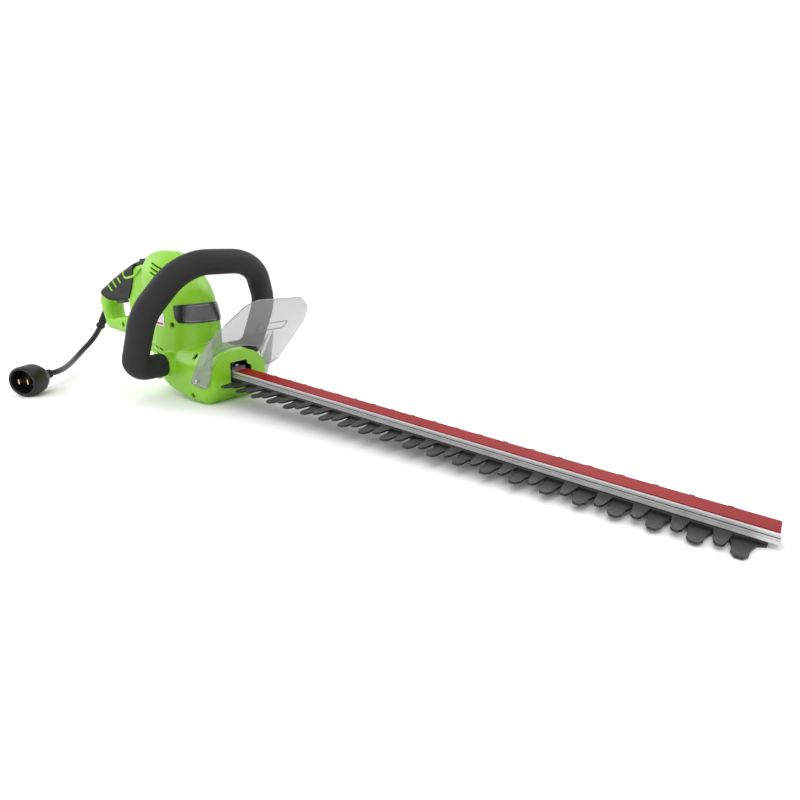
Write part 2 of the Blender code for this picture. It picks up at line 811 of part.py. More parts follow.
def blade_outline(offset, count, reach, root, neck, tip):
    """The blade's outline: the far end, the left teeth back to the yoke, and the right teeth out again."""
    left = [(BLADE_END, BLADE_HALF - 0.004)]
    for index in range(count):
        left += tooth(FIRST_TOOTH + offset - PITCH * index, reach, root, neck, tip)
    left = [point for point in left if point[0] <= BLADE_END]
    left += [
        (NECK_START + 0.004, BLADE_HALF),
        (NECK_START, 0.0240),
        (GEAR_X - 0.0270, 0.0240),
        (GEAR_X - 0.0290, 0.0200),
    ]
    return left + [(x, -y) for x, y in reversed(left)]


def bolt_places():
    return [BOLT_FIRST + BOLT_STEP * index for index in range(BOLT_COUNT)]


def blade(name, z, outline):
    slots = []
    for x in bolt_places():
        reach = 0.0030 + STROKE
        slots.append(rounded([(x - reach, -0.0028, 0.0027), (x + reach, -0.0028, 0.0027),
                              (x + reach, 0.0028, 0.0027), (x - reach, 0.0028, 0.0027)], 2))
    yoke_x, yoke_y = SWEEP + STROKE + 0.0005, SWEEP + 0.0006
    slots.append(rounded([(GEAR_X - yoke_x, -yoke_y, 0.006), (GEAR_X + yoke_x, -yoke_y, 0.006),
                          (GEAR_X + yoke_x, yoke_y, 0.006), (GEAR_X - yoke_x, yoke_y, 0.006)], 3))
    flat(name, [outline] + slots, z, z + BLADE_THICK, BLADE_STEEL)


blade("blade_lower", LOWER_Z, blade_outline(0.0, TEETH, LONG_REACH, 0.0085, 0.0056, 0.0053))
blade("blade_upper", UPPER_Z, blade_outline(SHORT_OFFSET, TEETH - 1, SHORT_REACH, 0.0060, None, 0.0036))

bar_section = [
    (-BAR_HALF, BAR_Z),
    (-BAR_HALF, BAR_TOP - 0.0040),
    (-BAR_HALF + 0.0009, BAR_TOP - 0.0036),
    (-BAR_HALF, BAR_TOP - 0.0032),
    (-BAR_HALF, BAR_TOP),
]
bar_outline = bar_section + [(-y, z) for y, z in reversed(bar_section)]
bar_outline += [(0.0050, BAR_Z), (0.0050, BAR_Z + 0.0058), (-0.0050, BAR_Z + 0.0058), (-0.0050, BAR_Z)]
# Local XY to the tool's YZ, and local Z to +X
FRONT_VIEW = Matrix(((0, 0, 1, 0), (1, 0, 0, 0), (0, 1, 0, 0), (0, 0, 0, 1)))
bar = flat("guide_bar", [bar_outline], BAR_START, BAR_END, ALUMINIUM, FRONT_VIEW)
for index, x in enumerate(bolt_places()):
    cut(bar, rod(f"bar_bolt_bore_{index}", (x, 0, 0.030), (0, 0, 1), 0.0023, 0.0122, None, True, sides=10))
    screw_piece(
        f"blade_bolt_{index + 1}",
        (x, 0, LOWER_Z - GAP),
        (0, 0, 1),
        0.0019,
        0.0120,
        0.0062,
        0.0022,
        BRIGHT_STEEL,
    )
box(
    "bar_strip",
    (0.0020, -BAR_HALF + 0.0005, BAR_TOP + GAP),
    (BAR_END - 0.0010, BAR_HALF - 0.0005, BAR_TOP + GAP + STRIP_THICK),
    RED,
)
bar_screw_places = (-0.0150, -0.0070)
for index, x in enumerate(bar_screw_places):
    cut(bar, rod(f"bar_screw_bore_{index}", (x, 0, 0.0395), (0, 0, 1), 0.0019, 0.006, None, True, sides=8))


# ---------------------------------------------------------------- gear case, cover and wiper

case_rear, case_front = GEAR_X - 0.0480, GEAR_X + 0.0330
case = flat(
    "gear_case",
    [rounded([(case_rear, -CASE_HALF, 0.010), (case_front, -CASE_HALF, 0.010),
              (case_front, CASE_HALF, 0.010), (case_rear, CASE_HALF, 0.010)])],
    CASE_LOW,
    CASE_HIGH,
    CAST,
)
case_posts = [(case_rear + 0.0075, -0.0286), (case_front - 0.0070, 0.0286)]
tongue = box("case_tongue", (case_front - 0.0020, -0.0105, 0.0437), (-0.0025, 0.0105, 0.0475), None, as_cutter=True)
bearing_seat = rod("bearing_seat", (MOTOR_X, 0, 0.0535), (0, 0, 1), 0.0135, 0.0125, None, True, sides=20)
join(case, tongue, bearing_seat)
for index, (x, y) in enumerate(case_posts):
    join(case, rod(f"case_post_{index}", (x, y, 0.0268), (0, 0, 1), 0.0040, 0.0150, None, True, sides=12))
gear_room = rod("gear_room", (GEAR_X, 0, 0.0300), (0, 0, 1), 0.0300, 0.0230, None, True, sides=24)
pinion_room = rod("pinion_room", (MOTOR_X, 0, 0.0300), (0, 0, 1), 0.0095, 0.0230, None, True, sides=16)
seat_bore = rod("seat_bore", (MOTOR_X, 0, 0.0585), (0, 0, 1), 0.0113, 0.0100, None, True, sides=20)
shaft_bore = rod("shaft_bore", (MOTOR_X, 0, 0.0500), (0, 0, 1), 0.0052, 0.0120, None, True, sides=14)
roof_bore = rod("roof_bore", (GEAR_X, 0, 0.0500), (0, 0, 1), 0.0083, 0.0100, None, True, sides=20)
cut(case, gear_room, pinion_room, seat_bore, shaft_bore, roof_bore)
for index, (x, y) in enumerate(case_posts):
    cut(case, rod(f"case_thread_{index}", (x, y, 0.0200), (0, 0, 1), 0.0020, 0.0200, None, True, sides=8))
    screw_piece(
        f"cover_screw_{index + 1}",
        (x, y, COVER_Z - GAP),
        (0, 0, 1),
        0.0016,
        0.0140,
        0.0034,
        0.0022,
        BRIGHT_STEEL,
    )
for index, x in enumerate(bar_screw_places):
    cut(case, rod(f"tongue_bore_{index}", (x, 0, 0.0425), (0, 0, 1), 0.0019, 0.008, None, True, sides=8))
    screw_piece(
        f"bar_screw_{index + 1}",
        (x, 0, 0.0475 + GAP),
        (0, 0, -1),
        0.0015,
        0.0064,
        0.0030,
        0.0020,
        BRIGHT_STEEL,
    )

cover_half = [
    (case_rear + 0.0010, 0.0325, 0.008),
    (case_front - 0.0020, 0.0325, 0.010),
    (case_front + 0.0110, 0.0190, 0.006),
    (-0.0040, 0.0190, 0.002),
]
cover_outline = rounded([(x, -y, radius) for x, y, radius in cover_half] + cover_half[::-1])
cover_holes = [circle(x, y, 0.0020, 10) for x, y in case_posts] + [circle(GEAR_X, 0, SHAFT_R + GAP)]
flat("gear_cover", [cover_outline] + cover_holes, COVER_Z, COVER_Z + COVER_THICK, CAST)
wiper = box("felt_wiper", (-0.0110, -0.0185, 0.0268), (-0.0060, 0.0185, 0.0400), FELT)
cut(wiper, box("wiper_channel", (-0.02, -0.0136, 0.0286), (0.01, 0.0136, 0.0500), None, as_cutter=True))


# ---------------------------------------------------------------- drive


def gear_outline(teeth, phase):
    """Straight-flanked teeth, thinner than their spaces, around a wheel."""
    pitch_r = MODULE * teeth / 2
    root_r, tip_r = pitch_r - 1.25 * MODULE, pitch_r + 0.85 * MODULE
    points = []
    for index in range(teeth):
        middle = phase + 2 * math.pi * index / teeth
        for radius, share in ((root_r, -0.30), (tip_r, -0.11), (tip_r, 0.11), (root_r, 0.30)):
            turn = middle + share * 2 * math.pi / teeth
            points.append((radius * math.cos(turn), radius * math.sin(turn)))
    return points


def place(obj, x):
    """Moves a piece that was made around its own axis to that axis."""
    obj.location = (x, 0.0, 0.0)
    return obj


place(flat("drive_gear", [gear_outline(GEAR_TEETH, 0.0), circle(0, 0, SHAFT_R + GAP)],
           GEAR_LOW, GEAR_HIGH, BRIGHT_STEEL), GEAR_X)
place(rod("gear_shaft", (0, 0, 0.0246), (0, 0, 1), SHAFT_R, 0.0316, BRIGHT_STEEL), GEAR_X)
shaft_hole = circle(0, 0, SHAFT_R + GAP)
eccentric = flat("double_eccentric", [circle(0, STROKE, ECCENTRIC_R, 20), shaft_hole],
                 UPPER_Z, GEAR_LOW - GAP, BRIGHT_STEEL)
lower_disc = flat("lower_disc", [circle(0, -STROKE, ECCENTRIC_R, 20), shaft_hole],
                  LOWER_Z, UPPER_Z + 0.0002, None, as_cutter=True)
join(place(eccentric, GEAR_X), place(lower_disc, GEAR_X))
ring("gear_bearing", (GEAR_X, 0, 0.0537), (0, 0, 1), SHAFT_R + GAP, 0.0080, 0.0026, BRIGHT_STEEL)

place(flat("pinion", [gear_outline(PINION_TEETH, 0.0), circle(0, 0, 0.0025, 12)], 0.0420, 0.0520, BRIGHT_STEEL),
      MOTOR_X)
shaft_profile = [(0.0, 0.1675), (SHAFT_R, 0.1675), (SHAFT_R, 0.0523), (0.0022, 0.0523), (0.0022, 0.0400), (0.0, 0.0400)]
place(turned("armature_shaft", shaft_profile, (0, 0, 0), (0, 0, 1), BRIGHT_STEEL, steps=16), MOTOR_X)
core_profile = [(0.0150, 0.1462), (0.0150, 0.1410), (0.0176, 0.1410), (0.0176, 0.1030), (0.0150, 0.1030),
                (0.0150, 0.0970), (SHAFT_R + GAP, 0.0970), (SHAFT_R + GAP, 0.1462)]
place(turned("armature_core", core_profile, (0, 0, 0), (0, 0, 1), CAST, closed=True, steps=20), MOTOR_X)
place(ring("commutator", (0, 0, 0.1470), (0, 0, 1), SHAFT_R + GAP, 0.0105, 0.0110, COPPER, 20), MOTOR_X)
fan_outline = []
FAN_BLADES = 9
for index in range(FAN_BLADES):
    middle = 2 * math.pi * index / FAN_BLADES
    for radius, spread in ((0.0090, -0.20), (0.0260, 0.10), (0.0260, 0.20), (0.0090, 0.06)):
        turn = middle + spread
        fan_outline.append((radius * math.cos(turn), radius * math.sin(turn)))
place(flat("cooling_fan", [fan_outline, circle(0, 0, SHAFT_R + GAP)], 0.0750, 0.0850, BLACK), MOTOR_X)
ring("armature_bearing_lower", (MOTOR_X, 0, 0.0588), (0, 0, 1), SHAFT_R + GAP, 0.0110, 0.0068, BRIGHT_STEEL)
ring("armature_bearing_upper", (MOTOR_X, 0, 0.1605), (0, 0, 1), SHAFT_R + GAP, 0.0095, 0.0060, BRIGHT_STEEL)

field = ring("field_stack", (MOTOR_X, 0, 0.1030), (0, 0, 1), 0.0184, 0.0290, 0.0380, CAST, 28)
for side, label in ((-1, "right"), (1, "left")):
    for step in (-1, 1):
        x_low, x_high = sorted((step * 0.0086, step * 0.0144))
        y_low, y_high = sorted((side * 0.0195, side * 0.0239))
        pocket = box(
            f"coil_pocket_{label}_{step + 1}",
            (MOTOR_X + x_low, y_low, 0.0900),
            (MOTOR_X + x_high, y_high, 0.1600),
            None,
            as_cutter=True,
        )
        cut(field, pocket)
    turns = []
    for reach, end in ((0.0140, 0.0050), (0.0090, -0.0002)):
        low, high = 0.1028 - end, 0.1412 + end
        turns.append([(MOTOR_X - reach, low), (MOTOR_X + reach, low), (MOTOR_X + reach, high), (MOTOR_X - reach, high)])
    low, high = sorted((side * 0.0199, side * 0.0235))
    side_plate(f"field_coil_{label}", turns, low, high, COPPER)
    y_low, y_high = sorted((side * 0.0130, side * 0.0240))
    holder = box(f"brush_holder_{label}", (MOTOR_X - 0.0055, y_low, 0.1470), (MOTOR_X + 0.0055, y_high, 0.1568), BRASS)
    y_low, y_high = sorted((side * 0.0100, side * 0.0222))
    cut(holder, box(f"brush_way_{label}", (MOTOR_X - 0.0036, y_low, 0.1486), (MOTOR_X + 0.0036, y_high, 0.1554),
                    None, as_cutter=True))
    y_low, y_high = sorted((side * 0.0109, side * 0.0195))
    box(f"brush_{label}", (MOTOR_X - 0.0032, y_low, 0.1490), (MOTOR_X + 0.0032, y_high, 0.1550), CARBON)

for side, label in ((-1, "right"), (1, "left")):
    lead = [
        (-0.2505, side * 0.0050, 0.1180),
        (-0.2380, side * 0.0060, 0.1290),
        (-0.2200, side * 0.0065, 0.1380),
        (-0.2060, side * 0.0070, 0.1420),
        (-0.1850, side * 0.0080, 0.1432),
        (-0.1700, side * 0.0095, 0.1445),
        (-0.1500, side * 0.0190, 0.1480),
        (-0.1222, side * 0.0222, 0.1525),
    ]
    tube(f"motor_lead_{label}", lead, 0.0011, COPPER if side > 0 else WIRE, resolution=1, smooth_steps=2)


# ---------------------------------------------------------------- name plate


def skin_plate(name, outline, low, high, shade):
    """A thin band that follows the motor housing's skin within an outline seen from the side."""
    plate = loft(name, body_rings(high), shade)
    window = side_plate(f"{name}_window", [rounded(outline)], -0.070, 0.070, None, as_cutter=True)
    boolean(plate, window, "INTERSECT")
    cut(plate, loft(f"{name}_base", body_rings(low), None, as_cutter=True))


PLATE = [
    (-0.0845, 0.1165, 0.002),
    (-0.0400, 0.1235, 0.0),
    (-0.0400, 0.0985, 0.0),
    (-0.0610, 0.0955, 0.006),
    (-0.0765, 0.0953, 0.003),
    (-0.0812, 0.1000, 0.003),
]
skin_plate("name_plate", PLATE, GAP, 0.0014, PLATE_GREY)


# ---------------------------------------------------------------- cord, strain relief and plug

boot_length = boot_axis.length
boot_profile = [
    (0.0, boot_length),
    (0.0062, boot_length),
    (0.0066, boot_length - 0.0015),
    (0.0060, boot_length - 0.0045),
    (0.0050, boot_length - 0.0060),
    (0.0069, 0.0120),
    (0.0069, 0.0),
    (0.0, 0.0),
]
turned("strain_relief", boot_profile, BOOT_IN, boot_axis, RUBBER, steps=16)

inner_start = BOOT_IN - boot_axis.normalized() * GAP
inner_lead = [
    inner_start,
    inner_start - boot_axis.normalized() * 0.004,
    Vector((-0.2900, 0.0, 0.1085)),
    Vector((-0.2780, 0.0, 0.1165)),
]
tube("inner_lead", inner_lead, 0.0028, WIRE, smooth_steps=2)

to_scene = attitude.matrix_world
cord_starts = [to_scene @ (BOOT_END + boot_axis.normalized() * reach) for reach in (3 * GAP, 0.0080)]
cord_end = PLUG_NECK - PLUG_AXIS * GAP
route = cord_starts + [Vector(p) for p in CORD_ROUTE] + [cord_end]
tube("cord", route, CORD_R, WIRE, on_tool=False, smooth_steps=3)

plug_profile = [
    (0.0, 0.0),
    (0.0060, 0.0),
    (0.0064, 0.0090),
    (0.0100, 0.0130),
    (0.0165, 0.0220),
    (PLUG_R, 0.0300),
    (PLUG_R, PLUG_LENGTH - 0.0020),
    (PLUG_R - 0.0015, PLUG_LENGTH),
    (PLUG_R - 0.0040, PLUG_LENGTH),
    (PLUG_R - 0.0045, PLUG_LENGTH - 0.0180),
    (0.0, PLUG_LENGTH - 0.0180),
]
turned("plug_body", plug_profile, PLUG_NECK, PLUG_AXIS, BLACK, on_tool=False, steps=24)
across = PLUG_AXIS.cross(Vector((0, 0, 1)))
for index, side in enumerate((-1, 1)):
    low = PLUG_NECK + PLUG_AXIS * (PLUG_LENGTH - 0.0180 + GAP) + across * side * 0.0063
    bm = bmesh.new()
    bmesh.ops.create_cube(bm, size=1.0)
    bmesh.ops.scale(bm, vec=(0.0016, 0.0062, 0.0150), verts=bm.verts)
    bmesh.ops.translate(bm, vec=(0, 0, 0.0075), verts=bm.verts)
    facing = Matrix((across, Vector((0, 0, 1)), PLUG_AXIS)).transposed().to_4x4()
    bm.transform(Matrix.Translation(low) @ facing)
    from_bmesh(f"plug_pin_{index + 1}", bm, BRASS, on_tool=False, smooth=False)
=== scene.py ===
"""Corded hedge trimmer: the shown pieces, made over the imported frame.

Shapes are made in the tool's own frame (x = 0 at the nose's front face, +X along the blades, +Z up) and then
moved by TOOL, which pitches the tool nose down onto its foot and its blade tip.
"""

import json
import math

import bmesh
import bpy
from mathutils import Matrix, Vector


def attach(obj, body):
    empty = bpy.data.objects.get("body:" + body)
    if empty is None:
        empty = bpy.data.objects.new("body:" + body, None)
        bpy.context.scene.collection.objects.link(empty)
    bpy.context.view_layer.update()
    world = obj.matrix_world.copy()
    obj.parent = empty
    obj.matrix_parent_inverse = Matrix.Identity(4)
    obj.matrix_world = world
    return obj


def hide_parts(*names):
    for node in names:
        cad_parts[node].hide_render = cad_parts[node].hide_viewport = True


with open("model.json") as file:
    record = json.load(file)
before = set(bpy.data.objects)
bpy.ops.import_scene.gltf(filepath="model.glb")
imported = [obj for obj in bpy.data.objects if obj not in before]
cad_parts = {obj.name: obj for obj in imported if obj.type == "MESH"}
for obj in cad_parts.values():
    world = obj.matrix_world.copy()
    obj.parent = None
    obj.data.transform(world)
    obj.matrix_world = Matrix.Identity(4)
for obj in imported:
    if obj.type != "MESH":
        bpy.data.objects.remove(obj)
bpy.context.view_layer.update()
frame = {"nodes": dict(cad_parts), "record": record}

GAP = 0.0003
FOOT = Vector((-0.0300, 0.0, 0.0))
NOSE_DOWN = math.atan(0.0298 / 0.6005)
TOOL = Matrix.Rotation(NOSE_DOWN, 4, "Y") @ Matrix.Translation(-FOOT)

# ---------------------------------------------------------------- camera

EYE = Vector((0.5962, -0.4241, 0.2015))
AHEAD = Vector((-0.5693, 0.7722, -0.2821)).normalized()
RIGHTWARD = Vector((0.8043, 0.5943, 0.0038)).normalized()
lens = bpy.data.cameras.new("camera")
lens.lens = 24.73
lens.sensor_width = 36.0
lens.clip_start = 0.01
camera = bpy.data.objects.new("camera", lens)
up = RIGHTWARD.cross(AHEAD).normalized()
right = AHEAD.cross(up)
camera.matrix_world = Matrix.Translation(EYE) @ Matrix((right, up, -AHEAD)).transposed().to_4x4()
bpy.context.scene.collection.objects.link(camera)
bpy.context.scene.camera = camera


# ---------------------------------------------------------------- materials


def material(name, colour, roughness, metallic=0.0, grain=900.0, bump=0.06, mottle=0.06,
             stretch=(1.0, 1.0, 1.0), spread=0.06, alpha=1.0, coat=0.0, specular=0.5):
    """A finish whose colour, roughness and surface vary by noise at two scales."""
    made = bpy.data.materials.new(name)
    made.use_nodes = True
    tree = made.node_tree
    shader = tree.nodes["Principled BSDF"]
    place = tree.nodes.new("ShaderNodeTexCoord")
    mapping = tree.nodes.new("ShaderNodeMapping")
    mapping.inputs["Scale"].default_value = stretch
    tree.links.new(place.outputs["Object"], mapping.inputs["Vector"])
    fine = tree.nodes.new("ShaderNodeTexNoise")
    fine.inputs["Scale"].default_value = grain
    fine.inputs["Detail"].default_value = 4.0
    broad = tree.nodes.new("ShaderNodeTexNoise")
    broad.inputs["Scale"].default_value = 24.0
    broad.inputs["Detail"].default_value = 3.0
    tree.links.new(mapping.outputs["Vector"], fine.inputs["Vector"])
    tree.links.new(mapping.outputs["Vector"], broad.inputs["Vector"])
    tint = tree.nodes.new("ShaderNodeMix")
    tint.data_type = "RGBA"
    tint.inputs["A"].default_value = (*[c * (1 - mottle) for c in colour], 1.0)
    tint.inputs["B"].default_value = (*[min(1.0, c * (1 + mottle)) for c in colour], 1.0)
    tree.links.new(broad.outputs["Fac"], tint.inputs["Factor"])
    tree.links.new(tint.outputs["Result"], shader.inputs["Base Color"])
    rough = tree.nodes.new("ShaderNodeMapRange")
    rough.inputs["From Min"].default_value = 0.3
    rough.inputs["From Max"].default_value = 0.7
    rough.inputs["To Min"].default_value = max(0.02, roughness - spread)
    rough.inputs["To Max"].default_value = min(1.0, roughness + spread)
    tree.links.new(fine.outputs["Fac"], rough.inputs["Value"])
    tree.links.new(rough.outputs["Result"], shader.inputs["Roughness"])
    relief = tree.nodes.new("ShaderNodeBump")
    relief.inputs["Strength"].default_value = bump
    relief.inputs["Distance"].default_value = 0.0005
    tree.links.new(fine.outputs["Fac"], relief.inputs["Height"])
    tree.links.new(relief.outputs["Normal"], shader.inputs["Normal"])
    shader.inputs["Metallic"].default_value = metallic
    shader.inputs["Alpha"].default_value = alpha
    shader.inputs["Coat Weight"].default_value = coat
    shader.inputs["Specular IOR Level"].default_value = specular
    return made


GREEN = material("moulded_green", (0.215, 0.510, 0.012), 0.36, grain=1400.0, bump=0.05, mottle=0.05)
BLACK = material("moulded_black", (0.0075, 0.0075, 0.008), 0.36, grain=1100.0, bump=0.12, specular=0.35)
FOAM = material(
    "loop_black", (0.0125, 0.0125, 0.013), 0.66, grain=1500.0, bump=0.25, mottle=0.10, specular=0.32,
)
RUBBER = material(
    "grip_black", (0.008, 0.008, 0.009), 0.60, grain=1300.0, bump=0.35, mottle=0.12, specular=0.3,
)
CLEAR = material("guard_sheet", (0.34, 0.345, 0.35), 0.12, grain=60.0, bump=0.03, mottle=0.04, alpha=0.42)
CLEAR_RIM = material("guard_rim", (0.20, 0.205, 0.21), 0.20, grain=200.0, bump=0.03, alpha=0.80)
ALUMINIUM = material(
    "extruded_aluminium", (0.60, 0.60, 0.61), 0.42, 0.55, grain=420.0, bump=0.012, mottle=0.03,
    stretch=(0.02, 1.0, 1.0), spread=0.05,
)
CAST = material("cast_metal", (0.10, 0.10, 0.105), 0.55, 0.6, grain=700.0, bump=0.30, mottle=0.15)
BLADE = material(
    "blade_steel_dark", (0.024, 0.024, 0.021), 0.46, 0.30, grain=500.0, bump=0.12, mottle=0.22, spread=0.12,
)
STEEL = material("plated_steel", (0.55, 0.55, 0.56), 0.28, 1.0, grain=800.0, bump=0.05, mottle=0.06)
RED = material("strip_red", (0.25, 0.003, 0.006), 0.48, grain=700.0, bump=0.05, mottle=0.12, specular=0.15)
BAND = material("band_dark", (0.022, 0.022, 0.025), 0.24, grain=900.0, bump=0.03, coat=0.5)
# painted sheen: the strong broad mottle paints a lighter gradient across the label's dark face
SHEEN = material(
    "band_sheen", (0.10, 0.10, 0.105), 0.26, 0.6, grain=50.0, bump=0.01, mottle=0.35, spread=0.05,
)
EDGE = material("band_frame", (0.22, 0.22, 0.23), 0.25, 0.9, grain=700.0, bump=0.03)
STICKER = material("sticker_silver", (0.62, 0.62, 0.63), 0.35, 0.4, grain=600.0, bump=0.03, mottle=0.06)
STICKER_RED = material("sticker_red", (0.45, 0.03, 0.03), 0.40, grain=600.0, bump=0.03)
COPPER = material("bare_copper", (0.72, 0.34, 0.17), 0.38, 1.0, grain=900.0, bump=0.20, mottle=0.12)
CARBON = material("sintered_carbon", (0.035, 0.035, 0.037), 0.7, grain=900.0, bump=0.25)
FELT = material("felt_grey", (0.28, 0.26, 0.22), 0.95, grain=1500.0, bump=0.9, mottle=0.25)
BRASS = material("plain_brass", (0.74, 0.57, 0.26), 0.32, 1.0, grain=700.0, bump=0.06, mottle=0.08)
SHEATH = material(
    "cord_sheath", (0.006, 0.006, 0.0065), 0.36, grain=900.0, bump=0.10, mottle=0.10, specular=0.35,
)


def painted_light_bands(made, bands):
    """Gives a finish bands of grey by height in the tool's frame, painted highlight and painted shade:
    (height, shade) from the lowest up.
    """
    tree = made.node_tree
    shader = tree.nodes["Principled BSDF"]
    place = tree.nodes.new("ShaderNodeTexCoord")
    height = tree.nodes.new("ShaderNodeVectorMath")
    height.operation = "DOT_PRODUCT"
    height.inputs[1].default_value = (math.sin(NOSE_DOWN), 0.0, math.cos(NOSE_DOWN))
    tree.links.new(place.outputs["Object"], height.inputs[0])
    span = tree.nodes.new("ShaderNodeMapRange")
    low, high = bands[0][0], bands[-1][0]
    span.inputs["From Min"].default_value = low
    span.inputs["From Max"].default_value = high
    tree.links.new(height.outputs["Value"], span.inputs["Value"])
    ramp = tree.nodes.new("ShaderNodeValToRGB")
    ramp.color_ramp.interpolation = "CONSTANT"
    stops = ramp.color_ramp.elements
    while len(stops) < len(bands):
        stops.new(0.5)
    for stop, (z, _) in zip(stops, bands):
        stop.position = (z - low) / (high - low)
    for stop, (_, shade) in zip(stops, bands):
        stop.color = (shade, shade, shade * 1.01, 1.0)
    tree.links.new(span.outputs["Result"], ramp.inputs["Fac"])
    tree.links.new(ramp.outputs["Color"], shader.inputs["Base Color"])


# the bar's painted light, lowest band first: painted shade along its grooves and lower edge, a painted
# highlight under the red strip
BAR_PAINTED_LIGHT = [
    (0.0300, 0.30),
    (0.0349, 0.62),
    (0.0374, 0.20),
    (0.0377, 0.56),
    (0.0393, 0.15),
    (0.0399, 0.50),
    (0.0421, 0.78),
    (0.0450, 0.78),
]
painted_light_bands(ALUMINIUM, BAR_PAINTED_LIGHT)
SLOTS = {
    "green_plastic": GREEN,
    "black_plastic": BLACK,
    "grip_rubber": RUBBER,
    "clear_plastic": CLEAR,
    "aluminium": ALUMINIUM,
    "cast_case": CAST,
    "blade_steel": BLADE,
    "bright_steel": STEEL,
    "red_strip": RED,
    "plate_grey": BAND,
    "copper": COPPER,
    "carbon": CARBON,
    "felt": FELT,
    "brass": BRASS,
    "wire_sheath": SHEATH,
}
for entry in frame["record"]["subparts"]:
    node = frame["nodes"][entry["node"]]
    for kept_slot in node.material_slots:
        kept_slot.material = SLOTS[entry["material_slot"]]


# ---------------------------------------------------------------- shape helpers


def from_bmesh(name, bm, smooth=True):
    bm.normal_update()
    bmesh.ops.recalc_face_normals(bm, faces=bm.faces)
    mesh = bpy.data.meshes.new(name)
    bm.to_mesh(mesh)
    bm.free()
    if smooth:
        mesh.shade_smooth()
        mesh.set_sharp_from_angle(angle=math.radians(32))
    obj = bpy.data.objects.new(name, mesh)
    bpy.context.scene.collection.objects.link(obj)
    return obj


def baked(obj):
    """Applies an object's modifiers."""
    bpy.context.view_layer.update()
    made = bpy.data.meshes.new_from_object(obj.evaluated_get(bpy.context.evaluated_depsgraph_get()))
    obj.modifiers.clear()
    old = obj.data
    obj.data = made
    bpy.data.meshes.remove(old)
    return obj


def combine(obj, others, operation="DIFFERENCE"):
    """Booleans other objects into obj and removes them."""
    for other in others:
        modifier = obj.modifiers.new("Boolean", "BOOLEAN")
        modifier.operation = operation
        modifier.object = other
        modifier.solver = "EXACT"
    baked(obj)
    for other in others:
        bpy.data.objects.remove(other, do_unlink=True)
    return obj


def sharpen(obj, angle=32):
    obj.data.shade_smooth()
    obj.data.set_sharp_from_angle(angle=math.radians(angle))
    return obj


def box(name, low, high):
    bm = bmesh.new()
    bmesh.ops.create_cube(bm, size=1.0)
    low, high = Vector(low), Vector(high)
    bmesh.ops.scale(bm, vec=high - low, verts=bm.verts)
    bmesh.ops.translate(bm, vec=(low + high) / 2, verts=bm.verts)
    return from_bmesh(name, bm, smooth=False)


def along(start, axis):
    """The matrix that takes local +Z to an axis, at a start point."""
    turn = Vector((0, 0, 1)).rotation_difference(Vector(axis).normalized()).to_matrix().to_4x4()
    return Matrix.Translation(Vector(start)) @ turn


def turned(name, profile, start, axis, closed=False, steps=48):
    """A turned piece: profile points are radius and height."""
    bm = bmesh.new()
    rings = []
    for radius, height in profile:
        if radius == 0.0:
            rings.append([bm.verts.new((0.0, 0.0, height))])
            continue
        ring = []
        for i in range(steps):
            turn = 2 * math.pi * i / steps
            ring.append(bm.verts.new((radius * math.cos(turn), radius * math.sin(turn), height)))
        rings.append(ring)
    pairs = list(zip(rings, rings[1:]))
    if closed:
        pairs.append((rings[-1], rings[0]))
    for low, high in pairs:
        for i in range(steps):
            j = (i + 1) % steps
            corners = [low[i % len(low)], low[j % len(low)], high[j % len(high)], high[i % len(high)]]
            corners = list(dict.fromkeys(corners))
            if len(corners) > 2:
                bm.faces.new(corners)
    bm.transform(along(start, axis))
    return from_bmesh(name, bm)


def rounded(corners, steps=8):
    """An outline whose corners (x, y, radius) are turned into arcs."""
    points = []
    count = len(corners)
    for i in range(count):
        x, y, radius = corners[i]
        here = Vector((x, y))
        before = Vector(corners[i - 1][:2]) - here
        after = Vector(corners[(i + 1) % count][:2]) - here
        half = before.angle(after) / 2
        if radius == 0.0 or half > math.radians(89):
            points.append((x, y))
            continue
        reach = min(radius / math.tan(half), 0.48 * before.length, 0.48 * after.length)
        radius = reach * math.tan(half)
        before.normalize()
        after.normalize()
        centre = here + (before + after).normalized() * (radius / math.sin(half))
        first, last = here + before * reach - centre, here + after * reach - centre
        turn = first.angle_signed(last)
        arc = max(1, round(steps * abs(turn) / (math.pi / 2)))
        for k in range(arc + 1):
            point = centre + Matrix.Rotation(-turn * k / arc, 2) @ first
            points.append((point.x, point.y))
    return points


def grown(points, distance):
    """The outline moved outwards by a distance."""
    area = sum(
        points[i - 1][0] * points[i][1] - points[i][0] * points[i - 1][1] for i in range(len(points))
    )
    side = 1.0 if area > 0 else -1.0
    moved = []
    for i, here in enumerate(points):
        here = Vector(here)
        back = (here - Vector(points[i - 1])).normalized()
        ahead = (Vector(points[(i + 1) % len(points)]) - here).normalized()
        normal_a = Vector((back.y, -back.x)) * side
        normal_b = Vector((ahead.y, -ahead.x)) * side
        normal = (normal_a + normal_b).normalized()
        reach = distance / max(0.5, normal.dot(normal_a))
        moved.append((here.x + normal.x * reach, here.y + normal.y * reach))
    return moved


def from_curve(name, curve, matrix):
    holder = bpy.data.objects.new(name + "_curve", curve)
    bpy.context.scene.collection.objects.link(holder)
    bpy.context.view_layer.update()
    mesh = bpy.data.meshes.new_from_object(holder.evaluated_get(bpy.context.evaluated_depsgraph_get()))
    bpy.data.objects.remove(holder, do_unlink=True)
    bm = bmesh.new()
    bm.from_mesh(mesh)
    bmesh.ops.remove_doubles(bm, verts=bm.verts, dist=0.00001)
    bm.transform(matrix)
    return from_bmesh(name, bm)


SIDE_VIEW = Matrix(((1, 0, 0, 0), (0, 0, 1, 0), (0, 1, 0, 0), (0, 0, 0, 1)))
FRONT_VIEW = Matrix(((0, 0, 1, 0), (1, 0, 0, 0), (0, 1, 0, 0), (0, 0, 0, 1)))


